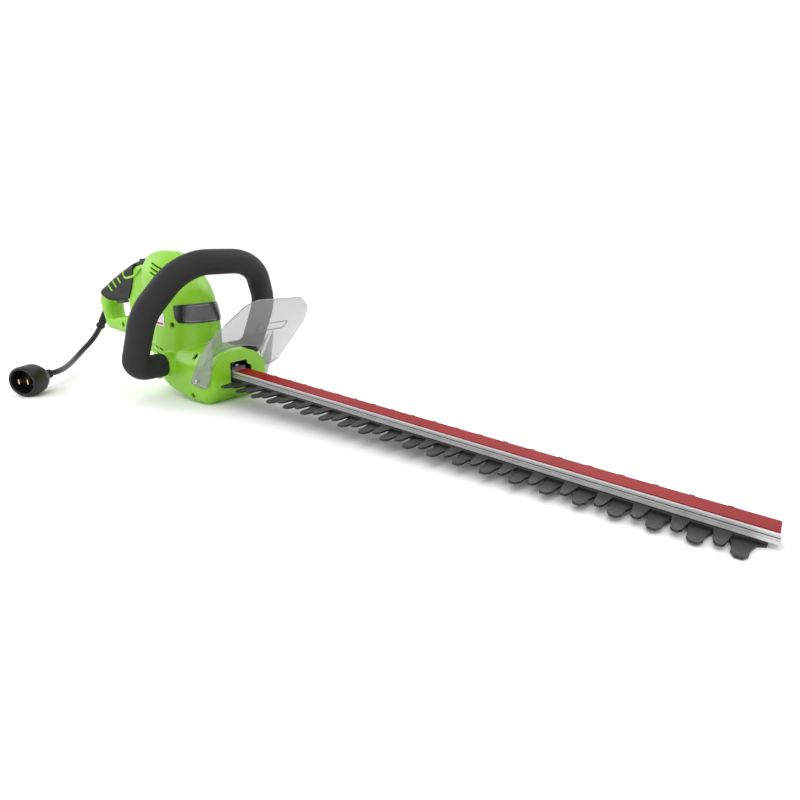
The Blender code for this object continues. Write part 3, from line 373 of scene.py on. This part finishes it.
def flat(name, outlines, low, high, matrix=SIDE_VIEW, edge=0.0, edge_steps=4):
    """Filled outlines in local XY, solid from low to high along local Z, with a rounded edge if asked."""
    curve = bpy.data.curves.new(name, "CURVE")
    curve.dimensions = "2D"
    curve.fill_mode = "BOTH"
    curve.extrude = (high - low) / 2 - edge
    curve.bevel_depth = edge
    curve.bevel_resolution = edge_steps
    for index, outline in enumerate(outlines):
        if edge:
            outline = grown(outline, -edge if index == 0 else edge)
        spline = curve.splines.new("POLY")
        spline.points.add(len(outline) - 1)
        for point, (x, y) in zip(spline.points, outline):
            point.co = (x, y, 0.0, 1.0)
        spline.use_cyclic_u = True
    return from_curve(name, curve, matrix @ Matrix.Translation((0, 0, (low + high) / 2)))


def smooth_path(points, steps):
    """Points along a smooth curve through the given ones."""
    knots = [Vector(p) for p in points]
    knots = [knots[0] * 2 - knots[1]] + knots + [knots[-1] * 2 - knots[-2]]
    path = []
    for a, b, c, d in zip(knots, knots[1:], knots[2:], knots[3:]):
        for k in range(steps):
            t = k / steps
            path.append(
                0.5 * (2 * b + (c - a) * t + (2 * a - 5 * b + 4 * c - d) * t**2
                       + (3 * b - a - 3 * c + d) * t**3)
            )
    path.append(knots[-2])
    return path


def tube(name, path, radius, sides=6, thin_ends=()):
    """A round tube along a path. thin_ends are the shares of the radius at its ends' first points."""
    curve = bpy.data.curves.new(name, "CURVE")
    curve.dimensions = "3D"
    curve.bevel_depth = radius
    curve.bevel_resolution = sides
    curve.use_fill_caps = True
    spline = curve.splines.new("POLY")
    spline.points.add(len(path) - 1)
    for point, place in zip(spline.points, path):
        point.co = (*place, 1.0)
    for index, share in enumerate(thin_ends):
        spline.points[index].radius = share
        spline.points[-1 - index].radius = share
    return from_curve(name, curve, Matrix.Identity(4))


def loft(name, rings):
    """A closed solid through rings of equal point counts."""
    bm = bmesh.new()
    rows = [[bm.verts.new(point) for point in ring_points] for ring_points in rings]
    for lower, upper in zip(rows, rows[1:]):
        for i in range(len(lower)):
            j = (i + 1) % len(lower)
            bm.faces.new((lower[i], lower[j], upper[j], upper[i]))
    bm.faces.new(rows[0])
    bm.faces.new(rows[-1])
    return from_bmesh(name, bm)


def place(obj, shade, nodes=(), body="housing", on_tool=True, slot_name=None):
    """Puts a piece in the scene's frame, gives it its finish and body, and hides the nodes it replaces."""
    if on_tool:
        obj.data.transform(TOOL)
    if shade is not None:
        obj.data.materials.clear()
        obj.data.materials.append(shade)
    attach(obj, body)
    if nodes:
        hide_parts(*nodes)
    return obj


# ---------------------------------------------------------------- cord, strain relief and plug

BOOT_IN = Vector((-0.3020, 0.0, 0.0957))
BOOT_END = Vector((-0.3500, 0.0, 0.0483))
CORD_D = 0.0080
CORD_ROUTE = [
    (-0.3305, -0.0045, 0.0475),
    (-0.3325, -0.0150, 0.0360),
    (-0.3262, -0.0290, 0.0280),
    (-0.3100, -0.0470, 0.0215),
    (-0.2850, -0.0670, 0.0188),
    (-0.2600, -0.0865, 0.0186),
    (-0.2405, -0.1037, 0.0197),
]
PLUG_NECK = Vector((-0.2327, -0.1166, 0.0204))
PLUG_AXIS = Vector((0.49, -0.872, 0.0)).normalized()
PLUG_R = 0.0200
PLUG_LENGTH = 0.0500
boot_axis = BOOT_END - BOOT_IN
boot_way = boot_axis.normalized()
starts = [TOOL @ (BOOT_END + boot_way * reach) for reach in (0.0009, 0.0080)]
route = smooth_path(starts + [Vector(p) for p in CORD_ROUTE] + [PLUG_NECK - PLUG_AXIS * GAP], 6)
cord = tube("supply_cord", route, CORD_D / 2, sides=6)
place(cord, SHEATH, ["cord"], on_tool=False, slot_name="wire_sheath")

plug_profile = [(0.0, 0.0), (0.0052, 0.0), (0.0060, 0.0006)]
for index in range(4):
    base = 0.0012 + 0.0019 * index
    plug_profile += [
        (0.0063, base),
        (0.0063, base + 0.0011),
        (0.0056, base + 0.0013),
        (0.0056, base + 0.0017),
    ]
plug_profile += [  # the shoulder and the barrel
    (0.0066, 0.0092), (0.0078, 0.0112), (0.0100, 0.0134), (0.0130, 0.0166), (0.0158, 0.0202),
    (0.0172, 0.0228), (0.0176, 0.0246), (0.0192, 0.0262), (0.0200, 0.0285), (PLUG_R, 0.0330),
]
plug_profile += [  # the rounded rim
    (PLUG_R, 0.0462), (0.0196, 0.0482), (0.0186, 0.0495), (0.0176, PLUG_LENGTH), (0.0163, 0.0497),
]
plug_profile += [  # the hollow and its raised ring
    (0.0157, 0.0490), (0.0154, 0.0470), (0.0152, 0.0330), (0.0150, 0.0322), (0.0132, 0.0321),
    (0.0128, 0.0332), (0.0116, 0.0334), (0.0110, 0.0321), (0.0, 0.0321),
]
plug = turned("plug_shell", plug_profile, PLUG_NECK, PLUG_AXIS, steps=64)
place(plug, BLACK, ["plug_body"], on_tool=False, slot_name="black_plastic")

boot_length = boot_axis.length
boot_profile = [(0.0, 0.0), (0.0071, 0.0), (0.0071, 0.0125), (0.0066, 0.0140)]
RIBS = 11
for index in range(RIBS):
    base = 0.0150 + index * (boot_length - 0.0230) / RIBS
    size = 0.0064 - 0.0011 * index / RIBS
    boot_profile += [
        (size, base),
        (size + 0.0003, base + 0.0006),
        (size, base + 0.0013),
        (size - 0.0011, base + 0.0018),
        (size - 0.0011, base + 0.0028),
    ]
boot_profile += [
    (0.0051, boot_length - 0.0070),
    (0.0054, boot_length - 0.0050),
    (0.0062, boot_length - 0.0030),
    (0.0066, boot_length - 0.0014),
    (0.0064, boot_length - 0.0004),
    (0.0058, boot_length),
    (0.0, boot_length),
]
place(turned("ribbed_boot", boot_profile, BOOT_IN, boot_axis, steps=40), RUBBER, ["strain_relief"],
      slot_name="grip_rubber")

# ---------------------------------------------------------------- housing

WALL = 0.0025
VOXEL = 0.0013
BODY_POWER = 2.2
BODY = [
    (0.0300, -0.150, -0.0580, 0.0360),
    (0.0600, -0.163, -0.0570, 0.0380),
    (0.0900, -0.171, -0.0576, 0.0390),
    (0.1150, -0.174, -0.0648, 0.0390),
    (0.1350, -0.175, -0.0733, 0.0375),
    (0.1520, -0.175, -0.0880, 0.0345),
    (0.1660, -0.172, -0.0975, 0.0275),
    (0.1750, -0.164, -0.1090, 0.0190),
    (0.1795, -0.150, -0.1200, 0.0100),
]
NOSE = [
    (-0.140, 0.0205, 0.0620, 0.0370),
    (-0.095, 0.0065, 0.0665, 0.0430),
    (-0.048, -0.0009, 0.0685, 0.0435),
    (-0.018, 0.0006, 0.0690, 0.0425),
    (0.000, 0.0230, 0.0690, 0.0405),
]
FRAME_HALF = 0.0150
FRAME_ROUND = 0.0078
FRAME = [
    (-0.1250, 0.0200, 0.0),
    (-0.1250, 0.1580, 0.0),
    (-0.1780, 0.1615, 0.020),
    (-0.2120, 0.1535, 0.060),
    (-0.2380, 0.1435, 0.060),
    (-0.2640, 0.1315, 0.060),
    (-0.2900, 0.1180, 0.060),
    (-0.3075, 0.1060, 0.012),
    (-0.3145, 0.0970, 0.012),
    (-0.3110, 0.0830, 0.020),
    (-0.2995, 0.0540, 0.008),
    (-0.2446, 0.0522, 0.030),
    (-0.2000, 0.0400, 0.030),
]
OPENING = [
    (-0.2290, 0.1085, 0.008),
    (-0.2620, 0.1040, 0.040),
    (-0.2830, 0.0990, 0.010),
    (-0.2915, 0.0880, 0.008),
    (-0.2900, 0.0700, 0.006),
    (-0.2620, 0.0770, 0.020),
    (-0.2290, 0.0830, 0.008),
]
PAD = [
    (-0.2030, 0.1578, 0.0),
    (-0.2060, 0.1370, 0.0),
    (-0.2120, 0.1235, 0.0),
    (-0.2215, 0.1085, 0.0),
    (-0.2310, 0.1058, 0.0),
    (-0.2620, 0.1018, 0.050),
    (-0.2780, 0.0985, 0.0),
    (-0.3065, 0.1085, 0.006),
    (-0.2895, 0.1203, 0.050),
    (-0.2635, 0.1338, 0.050),
    (-0.2375, 0.1458, 0.050),
    (-0.2115, 0.1558, 0.0),
]
HOUSING_SCREWS = [
    (-0.0864, 0.0919, 0.014, 0.0315),
    (-0.0430, 0.0578, 0.014, 0.0275),
    (-0.0390, 0.0098, 0.014, 0.0385),
    (-0.2473, 0.0675, 0.008, 0.0142),
]
LOOP_X = -0.0895
LOOP_Z = 0.0420
LOOP_R = 0.0150
LOOP_START = 0.0500
BOSS_FROM = 0.0305
BOSS_LENGTH = 0.0190
BUTTON_X = -0.1940
BUTTON_SLOT_LENGTH = 0.0180
BUTTON_SLOT_HALF = 0.0059
TRIGGER_SLOT = ((-0.2790, -0.0080, 0.0850), (-0.2425, 0.0080, 0.1100))
SCREW_HOLE_R = 0.0037
SCREW_WELL_R = 0.0048
BOOT_HOLE_R = 0.0074
THROUGH = 0.05
VENT_TILT = math.radians(17)


def body_rings(offset, sides=96, steps=8):
    """The motor barrel's sections on a smooth curve through its table."""
    rings = []
    dense = smooth_path([row[:3] for row in BODY], steps)
    halves = smooth_path([(row[3], 0.0, 0.0) for row in BODY], steps)
    for index, (row, half) in enumerate(zip(dense, halves)):
        z, rear, front = row
        centre, reach, half = (rear + front) / 2, (front - rear) / 2 + offset, half.x + offset
        z += offset if index == len(dense) - 1 else 0.0
        ring_points = []
        for i in range(sides):
            turn = 2 * math.pi * (i + 0.5) / sides
            c, s = math.cos(turn), math.sin(turn)
            x = centre + reach * math.copysign(abs(c) ** (2 / BODY_POWER), c)
            y = half * math.copysign(abs(s) ** (2 / BODY_POWER), s)
            ring_points.append((x, y, z))
        rings.append(ring_points)
    return rings


def nose_rings():
    """The gear case cover's sections, their corners rounded off."""
    rings = []
    for x, low, high, half in NOSE:
        corners = [
            (0.82 * half, low, 0.004),
            (half, low + 0.008, 0.008),
            (half, high - 0.020, 0.012),
            (0.66 * half, high - 0.0055, 0.016),
            (0.28 * half, high, 0.020),
        ]
        corners += [(-y, z, radius) for y, z, radius in reversed(corners)]
        rings.append([(x, y, z) for y, z in resampled(rounded(corners, 6), 120)])
    return rings


def resampled(outline, count):
    """The closed outline as so many evenly spaced points."""
    points = [Vector(p) for p in outline]
    points.append(points[0])
    lengths = [0.0]
    for a, b in zip(points, points[1:]):
        lengths.append(lengths[-1] + (b - a).length)
    evenly = []
    step = 0
    for i in range(count):
        want = lengths[-1] * i / count
        while lengths[step + 1] < want:
            step += 1
        share = (want - lengths[step]) / max(1e-9, lengths[step + 1] - lengths[step])
        evenly.append(tuple(points[step].lerp(points[step + 1], share)))
    return evenly


def joined(name, objs):
    """One object of several meshes."""
    bm = bmesh.new()
    for obj in objs:
        bm.from_mesh(obj.data)
        bpy.data.objects.remove(obj, do_unlink=True)
    mesh = bpy.data.meshes.new(name)
    bm.to_mesh(mesh)
    bm.free()
    obj = bpy.data.objects.new(name, mesh)
    bpy.context.scene.collection.objects.link(obj)
    return obj


frame_outline, opening_outline = rounded(FRAME), rounded(OPENING)
solids = [
    loft("barrel", body_rings(0.0)),
    loft("nose", nose_rings()),
    flat("handle_frame", [frame_outline, opening_outline], -FRAME_HALF, FRAME_HALF, edge=FRAME_ROUND),
]
for side in (-1, 1):
    boss = [(0.0, 0.0), (LOOP_R, 0.0), (LOOP_R, BOSS_LENGTH), (0.0, BOSS_LENGTH)]
    solids.append(turned(f"boss_{side}", boss, (LOOP_X, side * BOSS_FROM, LOOP_Z), (0, side, 0)))
shell = joined("shell", solids)
remesh = shell.modifiers.new("Remesh", "REMESH")
remesh.mode = "VOXEL"
remesh.voxel_size = VOXEL
soften = shell.modifiers.new("Smooth", "SMOOTH")
soften.factor = 0.5
soften.iterations = 5
hollow = shell.modifiers.new("Solidify", "SOLIDIFY")
hollow.thickness = WALL
hollow.offset = -1.0
baked(shell)

slot_section = rounded([
    (-0.0140, 0.0270, 0.002),
    (-0.0140, 0.0545, 0.002),
    (0.0118, 0.0552, 0.002),
    (0.0128, 0.0490, 0.002),
    (0.0187, 0.0465, 0.002),
    (0.0187, 0.0395, 0.002),
    (0.0145, 0.0370, 0.002),
    (0.0145, 0.0270, 0.002),
], 4)
boot_hole = turned("boot_hole", [(0.0, 0.0), (BOOT_HOLE_R, 0.0), (BOOT_HOLE_R, 0.060), (0.0, 0.060)],
                   BOOT_IN - boot_axis * 0.04, boot_axis)


def button_slot(name, low, high):
    """The lock-off button's slot as a knife, from low to high."""
    end = BUTTON_SLOT_LENGTH / 2
    return box(name, (BUTTON_X - end, -BUTTON_SLOT_HALF, low), (BUTTON_X + end, BUTTON_SLOT_HALF, high))


knives = [
    flat("blade_slot", [slot_section], -0.0140, 0.0100, FRONT_VIEW),
    box("trigger_slot", *TRIGGER_SLOT),
    button_slot("button_slot", 0.1505, 0.1720),
    boot_hole,
]
screw_hole = [(0.0, 0.0), (SCREW_HOLE_R, 0.0), (SCREW_HOLE_R, THROUGH), (0.0, THROUGH)]
for x, z, sunk, _ in HOUSING_SCREWS:
    knives.append(turned("screw_hole", screw_hole, (x, -sunk, z), (0, -1, 0), steps=28))


def vent(centre, length, height, side):
    """A slanted slot with round ends through one side of the shell, lower towards the front."""
    ends = length / 2
    radius = height * 0.45
    outline = rounded([
        (-ends, -height / 2, radius),
        (ends, -height / 2, radius),
        (ends, height / 2, radius),
        (-ends, height / 2, radius),
    ], 6)
    knife = flat("vent", [outline], -0.012, 0.012)
    knife.data.transform(Matrix.Translation((centre[0], side * centre[1], centre[2]))
                         @ Matrix.Rotation(VENT_TILT, 4, "Y"))
    knives.append(knife)


for side in (-1, 1):
    for index in range(3):
        top_vent = (-0.1215 + 0.0011 * index, 0.0330, 0.1618 - 0.0053 * index)
        vent(top_vent, 0.0245 - 0.0020 * index, 0.0024, side)
    for row in range(2):
        for column in range(3):
            side_vent = (-0.1328 + 0.0107 * column, 0.0400, 0.0590 - 0.0083 * row - 0.0011 * column)
            vent(side_vent, 0.0080, 0.0029, side)
combine(shell, [joined("knives", knives)])


def half_of(obj, name, side):
    """The part of an object on one side of the middle, GAP / 2 short of it."""
    bm = bmesh.new()
    bm.from_mesh(obj.data)
    bmesh.ops.bisect_plane(
        bm,
        geom=bm.verts[:] + bm.edges[:] + bm.faces[:],
        plane_co=(0, side * GAP / 2, 0),
        plane_no=(0, -side, 0),
        clear_outer=True,
    )
    return from_bmesh(name, bm)


for side, label in ((-1, "right"), (1, "left")):
    place(half_of(shell, f"shell_{label}", side), GREEN, [f"housing_{label}"], slot_name="green_plastic")
bpy.data.objects.remove(shell, do_unlink=True)

for index, (x, z, sunk, reach) in enumerate(HOUSING_SCREWS):
    sleeve = [
        (SCREW_HOLE_R, 0.0),
        (SCREW_WELL_R, 0.0),
        (SCREW_WELL_R, reach - sunk),
        (SCREW_HOLE_R, reach - sunk),
    ]
    place(turned(f"screw_well_{index + 1}", sleeve, (x, -sunk, z), (0, -1, 0), closed=True, steps=28), GREEN)
# a black sleeve behind the blade slot's opening: painted shade inside the slot
shade_sleeve = flat("slot_painted_shade", [grown(slot_section, 0.0008), slot_section], -0.0270, -0.0030, FRONT_VIEW)
place(shade_sleeve, BLACK)

# ---------------------------------------------------------------- rear handle

PAD_PROUD = 0.0018
pad_outline = rounded(PAD, 10)
wide_pad = [
    (-0.1880, 0.1640, 0.0),
    (-0.1900, 0.1300, 0.0),
    (-0.2130, 0.1030, 0.0),
    (-0.2310, 0.1058, 0.0),
    (-0.2620, 0.1018, 0.050),
    (-0.2780, 0.0985, 0.0),
    (-0.2960, 0.0900, 0.0),
    (-0.3250, 0.1010, 0.0),
    (-0.2895, 0.1203, 0.050),
    (-0.2635, 0.1338, 0.050),
    (-0.2375, 0.1458, 0.050),
    (-0.2115, 0.1558, 0.050),
]
pad_half = FRAME_HALF + PAD_PROUD
pad = flat("pad", [rounded(wide_pad, 10)], -pad_half, pad_half, edge=0.0080, edge_steps=6)
combine(pad, [flat("pad_window", [pad_outline], -0.03, 0.03)], "INTERSECT")
combine(pad, [box("pad_slot", *TRIGGER_SLOT)])
for side, label in ((-1, "right"), (1, "left")):
    place(half_of(pad, f"soft_pad_{label}", side), RUBBER, [f"grip_pad_{label}"], slot_name="grip_rubber")
bpy.data.objects.remove(pad, do_unlink=True)

STRIPES = [
    ((-0.2457, 0.1358), (-0.2381, 0.1289)),
    ((-0.2600, 0.1292), (-0.2511, 0.1217)),
    ((-0.2746, 0.1223), (-0.2644, 0.1150)),
]
SURROUND = [(-0.2297, 0.1470), (-0.2269, 0.1387), (-0.2205, 0.1375), (-0.2021, 0.1421), (-0.1828, 0.1538)]
for side, label in ((-1, "right"), (1, "left")):
    for index, (a, b) in enumerate(STRIPES):
        a, b = Vector(a), Vector(b)
        way = (b - a).normalized() * 0.0004
        across = Vector((-way.y, way.x)) * 4.0
        bar = [
            (*(a - way - across), 0.0014),
            (*(b + way - across), 0.0014),
            (*(b + way + across), 0.0014),
            (*(a - way + across), 0.0014),
        ]
        low, high = sorted((side * 0.0150, side * 0.0176))
        stripe = flat(f"grip_stripe_{label}_{index}", [rounded(bar, 8)], low, high, edge=0.0005, edge_steps=3)
        place(stripe, GREEN)
    trace = smooth_path([(x, side * 0.0158, z) for x, z in SURROUND], 8)
    place(tube(f"surround_{label}", trace, 0.0019, sides=4, thin_ends=(0.5, 0.85)), GREEN)
bezel_outline = rounded([
    (-0.2310, 0.1440, 0.002),
    (-0.2310, 0.1482, 0.003),
    (-0.2120, 0.1566, 0.040),
    (-0.1980, 0.1610, 0.030),
    (-0.1830, 0.1640, 0.003),
    (-0.1830, 0.1560, 0.002),
], 8)
bezel = flat("button_bezel", [bezel_outline], -0.0112, 0.0112)
combine(bezel, [button_slot("bezel_slot", 0.1400, 0.1800)])
bezel_edge = bezel.modifiers.new("Bevel", "BEVEL")
bezel_edge.width = 0.0012
bezel_edge.segments = 3
place(sharpen(baked(bezel)), BLACK)
for name, width in (("trigger", 0.0012), ("lock_off_button", 0.0010)):
    soft_edge = frame["nodes"][name].modifiers.new("Bevel", "BEVEL")
    soft_edge.width = width
    soft_edge.segments = 3
rib_section = rounded([
    (-0.0045, 0.1642, 0.0),
    (0.0045, 0.1642, 0.0),
    (0.0045, 0.1650, 0.0004),
    (-0.0045, 0.1650, 0.0004),
])
for index in range(4):
    x = BUTTON_X - 0.0054 + 0.0036 * index
    rib = flat(f"button_rib_{index}", [rib_section], x - 0.0005, x + 0.0005, FRONT_VIEW)
    place(rib, BLACK, body="lock_off_button")

# ---------------------------------------------------------------- front handle

LOOP_LEAN = math.radians(25)
LOOP_HEIGHT = 0.1456
LOOP_HALF = 0.0890
LOOP_TOP_HALF = 0.0505
loop_corners = [
    (-LOOP_START, 0.0, 0.0),
    (-LOOP_HALF, 0.0, 0.0178),
    (-LOOP_HALF, LOOP_HEIGHT * 0.555, 0.070),
    (-LOOP_TOP_HALF, LOOP_HEIGHT, 0.060),
    (LOOP_TOP_HALF, LOOP_HEIGHT, 0.060),
    (LOOP_HALF, LOOP_HEIGHT * 0.555, 0.070),
    (LOOP_HALF, 0.0, 0.0178),
    (LOOP_START, 0.0, 0.0),
]
loop_line = rounded(loop_corners, steps=20)
ends = [(-LOOP_START - step, 0.0) for step in (0.0, 0.0006, 0.0018, 0.0034)]
loop_line = ends + loop_line[1:-1] + [(-y, rise) for y, rise in reversed(ends)]
loop_path = [
    Vector((LOOP_X + rise * math.sin(LOOP_LEAN), y, LOOP_Z + rise * math.cos(LOOP_LEAN)))
    for y, rise in loop_line
]
loop = tube("loop_handle", loop_path, LOOP_R, sides=14, thin_ends=(0.90, 0.965, 0.995))
place(loop, FOAM, ["front_handle"], slot_name="black_plastic")

# ---------------------------------------------------------------- guard

GUARD_LEAN = math.radians(30)
GUARD_THICK = 0.0025
FLANGE_Y = 0.0446
GUARD = [
    (-0.0475, 0.0200, 0.002),
    (-0.0475, 0.0560, 0.020),
    (-0.0320, 0.0802, 0.020),
    (-0.0110, 0.1068, 0.014),
    (0.0050, 0.1132, 0.014),
    (0.0764, 0.1108, 0.012),
    (0.0950, 0.0940, 0.016),
    (0.0985, 0.0710, 0.010),
    (0.0790, 0.0064, 0.008),
    (0.0680, 0.0000, 0.006),
    (0.0450, 0.0000, 0.0),
    (0.0450, 0.0200, 0.0),
    (0.0290, 0.0380, 0.004),
    (0.0120, 0.0430, 0.008),
    (-0.0120, 0.0430, 0.008),
    (-0.0290, 0.0380, 0.004),
    (-0.0450, 0.0200, 0.0),
]
FLANGE = [
    (-0.0390, 0.0270, 0.004),
    (-0.0060, 0.0255, 0.004),
    (0.0050, 0.0480, 0.006),
    (0.0120, 0.0900, 0.004),
    (0.0040, 0.0860, 0.004),
    (-0.0160, 0.0620, 0.020),
]
slope = Matrix((
    (0.0, math.sin(GUARD_LEAN), math.cos(GUARD_LEAN), -0.0220),
    (1.0, 0.0, 0.0, 0.0),
    (0.0, math.cos(GUARD_LEAN), -math.sin(GUARD_LEAN), 0.0360),
    (0.0, 0.0, 0.0, 1.0),
))
guard_half = GUARD_THICK / 2
guard = flat("guard_plate", [rounded(GUARD)], -guard_half, guard_half, slope, edge=0.0004, edge_steps=1)
flanges = []
for side in (-1, 1):
    low, high = sorted((side * FLANGE_Y, side * (FLANGE_Y + GUARD_THICK)))
    flanges.append(flat("flange", [rounded(FLANGE)], low, high))
combine(guard, flanges, "UNION")
facing = Vector((math.cos(GUARD_LEAN), 0.0, -math.sin(GUARD_LEAN)))
guard.data.materials.clear()
guard.data.materials.append(CLEAR)
guard.data.materials.append(CLEAR_RIM)
for face in guard.data.polygons:
    rim = abs(face.normal.dot(facing)) < 0.8 and abs(face.normal.y) < 0.8
    face.material_index = 1 if rim else 0
place(guard, None, ["guard"], slot_name="clear_plastic")
PLAQUE = [
    (0.0180, 0.0640, 0.002),
    (0.0180, 0.0760, 0.003),
    (0.0680, 0.0760, 0.003),
    (0.0620, 0.0640, 0.002),
]
plaque_outline = rounded(PLAQUE)
plaque_rings = [plaque_outline, grown(plaque_outline, -0.0009)]
place(flat("guard_plaque", plaque_rings, guard_half, guard_half + 0.0005, slope), CLEAR_RIM)

# ---------------------------------------------------------------- label band and sticker


def skin(name, outline, low, high, shade, nodes=(), sides=(-0.07, 0.07), slot_name=None):
    """A thin band that follows the barrel's skin within an outline seen from the side."""
    band = loft(name, body_rings(high, 160, 10))
    combine(band, [flat("window", [outline], *sides)], "INTERSECT")
    combine(band, [loft("base", body_rings(low, 160, 10))])
    return place(sharpen(band, 25), shade, nodes, slot_name=slot_name)


PLATE = [
    (-0.0845, 0.1165, 0.002),
    (-0.0400, 0.1235, 0.0),
    (-0.0400, 0.0985, 0.0),
    (-0.0610, 0.0955, 0.006),
    (-0.0765, 0.0953, 0.003),
    (-0.0812, 0.1000, 0.003),
]
FACE = [
    (-0.0742, 0.1160, 0.0015),
    (-0.0390, 0.1215, 0.0),
    (-0.0390, 0.1005, 0.0),
    (-0.0610, 0.0975, 0.003),
    (-0.0712, 0.0978, 0.0015),
]
plate_outline, face_outline = rounded(PLATE), rounded(FACE)
skin("label_band", plate_outline, -0.0004, 0.0014, BAND, ["name_plate"], slot_name="plate_grey")
skin("label_frame", face_outline, 0.0010, 0.0017, EDGE)
# the label face's mottled grey is a painted sheen
skin("label_face", grown(face_outline, -0.0008), 0.0010, 0.0019, SHEEN)
STICKER_EDGE = [
    (-0.1160, 0.1045, 0.001),
    (-0.0985, 0.1045, 0.001),
    (-0.0985, 0.0885, 0.001),
    (-0.1160, 0.0885, 0.001),
]
STRIPE_EDGE = [
    (-0.1140, 0.0930, 0.0),
    (-0.1005, 0.0930, 0.0),
    (-0.1005, 0.0905, 0.0),
    (-0.1140, 0.0905, 0.0),
]
RIGHT_SIDE = (-0.07, -0.01)
skin("rating_sticker", rounded(STICKER_EDGE), -0.0003, 0.0004, STICKER, sides=RIGHT_SIDE)
skin("sticker_stripe", rounded(STRIPE_EDGE), -0.0002, 0.0006, STICKER_RED, sides=RIGHT_SIDE)

# ---------------------------------------------------------------- screws


def screw(name, head, axis, shank_r, shank, head_r, height, body="housing"):
    """A pan-head screw with a cross recess: head is the point under its head, axis the way its shank runs."""
    profile = [
        (0.0, shank),
        (shank_r * 0.6, shank),
        (shank_r, shank - 0.0008),
        (shank_r, 0.0),
        (head_r * 0.97, 0.0),
        (head_r, -0.2 * height),
        (head_r * 0.95, -0.55 * height),
        (head_r * 0.78, -0.85 * height),
        (head_r * 0.45, -height),
        (0.0, -height),
    ]
    made = turned(name, profile, (0, 0, 0), (0, 0, 1), steps=32)
    arm, thick = head_r * 0.62, head_r * 0.13
    sunk = -height * 0.45
    cross = [
        box("arm_a", (-arm, -thick, -0.02), (arm, thick, sunk)),
        box("arm_b", (-thick, -arm, -0.02), (thick, arm, sunk)),
    ]
    combine(made, cross)
    made.data.transform(along(head, axis))
    return place(sharpen(made), STEEL, [name.replace("_head", "")], body, slot_name="bright_steel")


for index, (x, z, sunk, _) in enumerate(HOUSING_SCREWS):
    under = (x, -sunk - GAP, z)
    screw(f"housing_screw_{index + 1}_head", under, (0, 1, 0), 0.0014, sunk + 0.0115, 0.0031, 0.0022)
for side, label in ((-1, "right"), (1, "left")):
    under = (LOOP_X, side * 0.0560, LOOP_Z - LOOP_R - GAP)
    screw(f"handle_screw_{label}_head", under, (0, 0, 1), 0.0015, 0.0125, 0.0032, 0.0020)
    under = (-0.0240, side * (FLANGE_Y + GUARD_THICK + GAP), 0.0325)
    screw(f"guard_screw_{label}_head", under, (0, -side, 0), 0.0013, 0.0085, 0.0030, 0.0018)
for index, x in enumerate((-0.0150, -0.0070)):
    screw(f"bar_screw_{index + 1}_head", (x, 0, 0.0478), (0, 0, -1), 0.0015, 0.0064, 0.0030, 0.0020)
for index in range(4):
    under = (0.0600 + 0.1500 * index, 0, 0.0297)
    screw(f"blade_bolt_{index + 1}_head", under, (0, 0, 1), 0.0019, 0.0120, 0.0062, 0.0022)

CAD_EDGES = (("blade_lower", 0.0005), ("blade_upper", 0.0005), ("guide_bar", 0.0004), ("bar_strip", 0.0002))
for name, width in CAD_EDGES:
    soft_edge = frame["nodes"][name].modifiers.new("Bevel", "BEVEL")
    soft_edge.width = width
    soft_edge.segments = 2

# ---------------------------------------------------------------- stage

bm = bmesh.new()
bmesh.ops.create_grid(bm, x_segments=1, y_segments=1, size=12.0)
floor = from_bmesh("floor", bm, smooth=False)
FLOOR = material("studio_floor", (0.93, 0.93, 0.93), 0.85, grain=4.0, bump=0.0, mottle=0.005, specular=0.2)
floor.data.materials.append(FLOOR)

world = bpy.data.worlds.new("studio")
bpy.context.scene.world = world
world.use_nodes = True
world.node_tree.nodes["Background"].inputs["Color"].default_value = (1.0, 1.0, 1.0, 1.0)
world.node_tree.nodes["Background"].inputs["Strength"].default_value = 1.10


def softbox(name, place_at, look_at, size, power):
    light = bpy.data.lights.new(name, "AREA")
    light.size = size
    light.energy = power
    lamp = bpy.data.objects.new(name, light)
    lamp.location = place_at
    lamp.rotation_euler = (Vector(look_at) - Vector(place_at)).to_track_quat("-Z", "Y").to_euler()
    bpy.context.scene.collection.objects.link(lamp)


softbox("key", (0.5, -0.9, 1.6), (0.0, 0.0, 0.08), 1.2, 8.0)
softbox("side", (-1.2, -0.6, 0.9), (-0.1, 0.0, 0.08), 1.0, 5.0)
softbox("rim", (0.2, 1.3, 1.2), (0.0, 0.0, 0.08), 1.0, 6.0)
bpy.context.scene.view_settings.view_transform = "Standard"
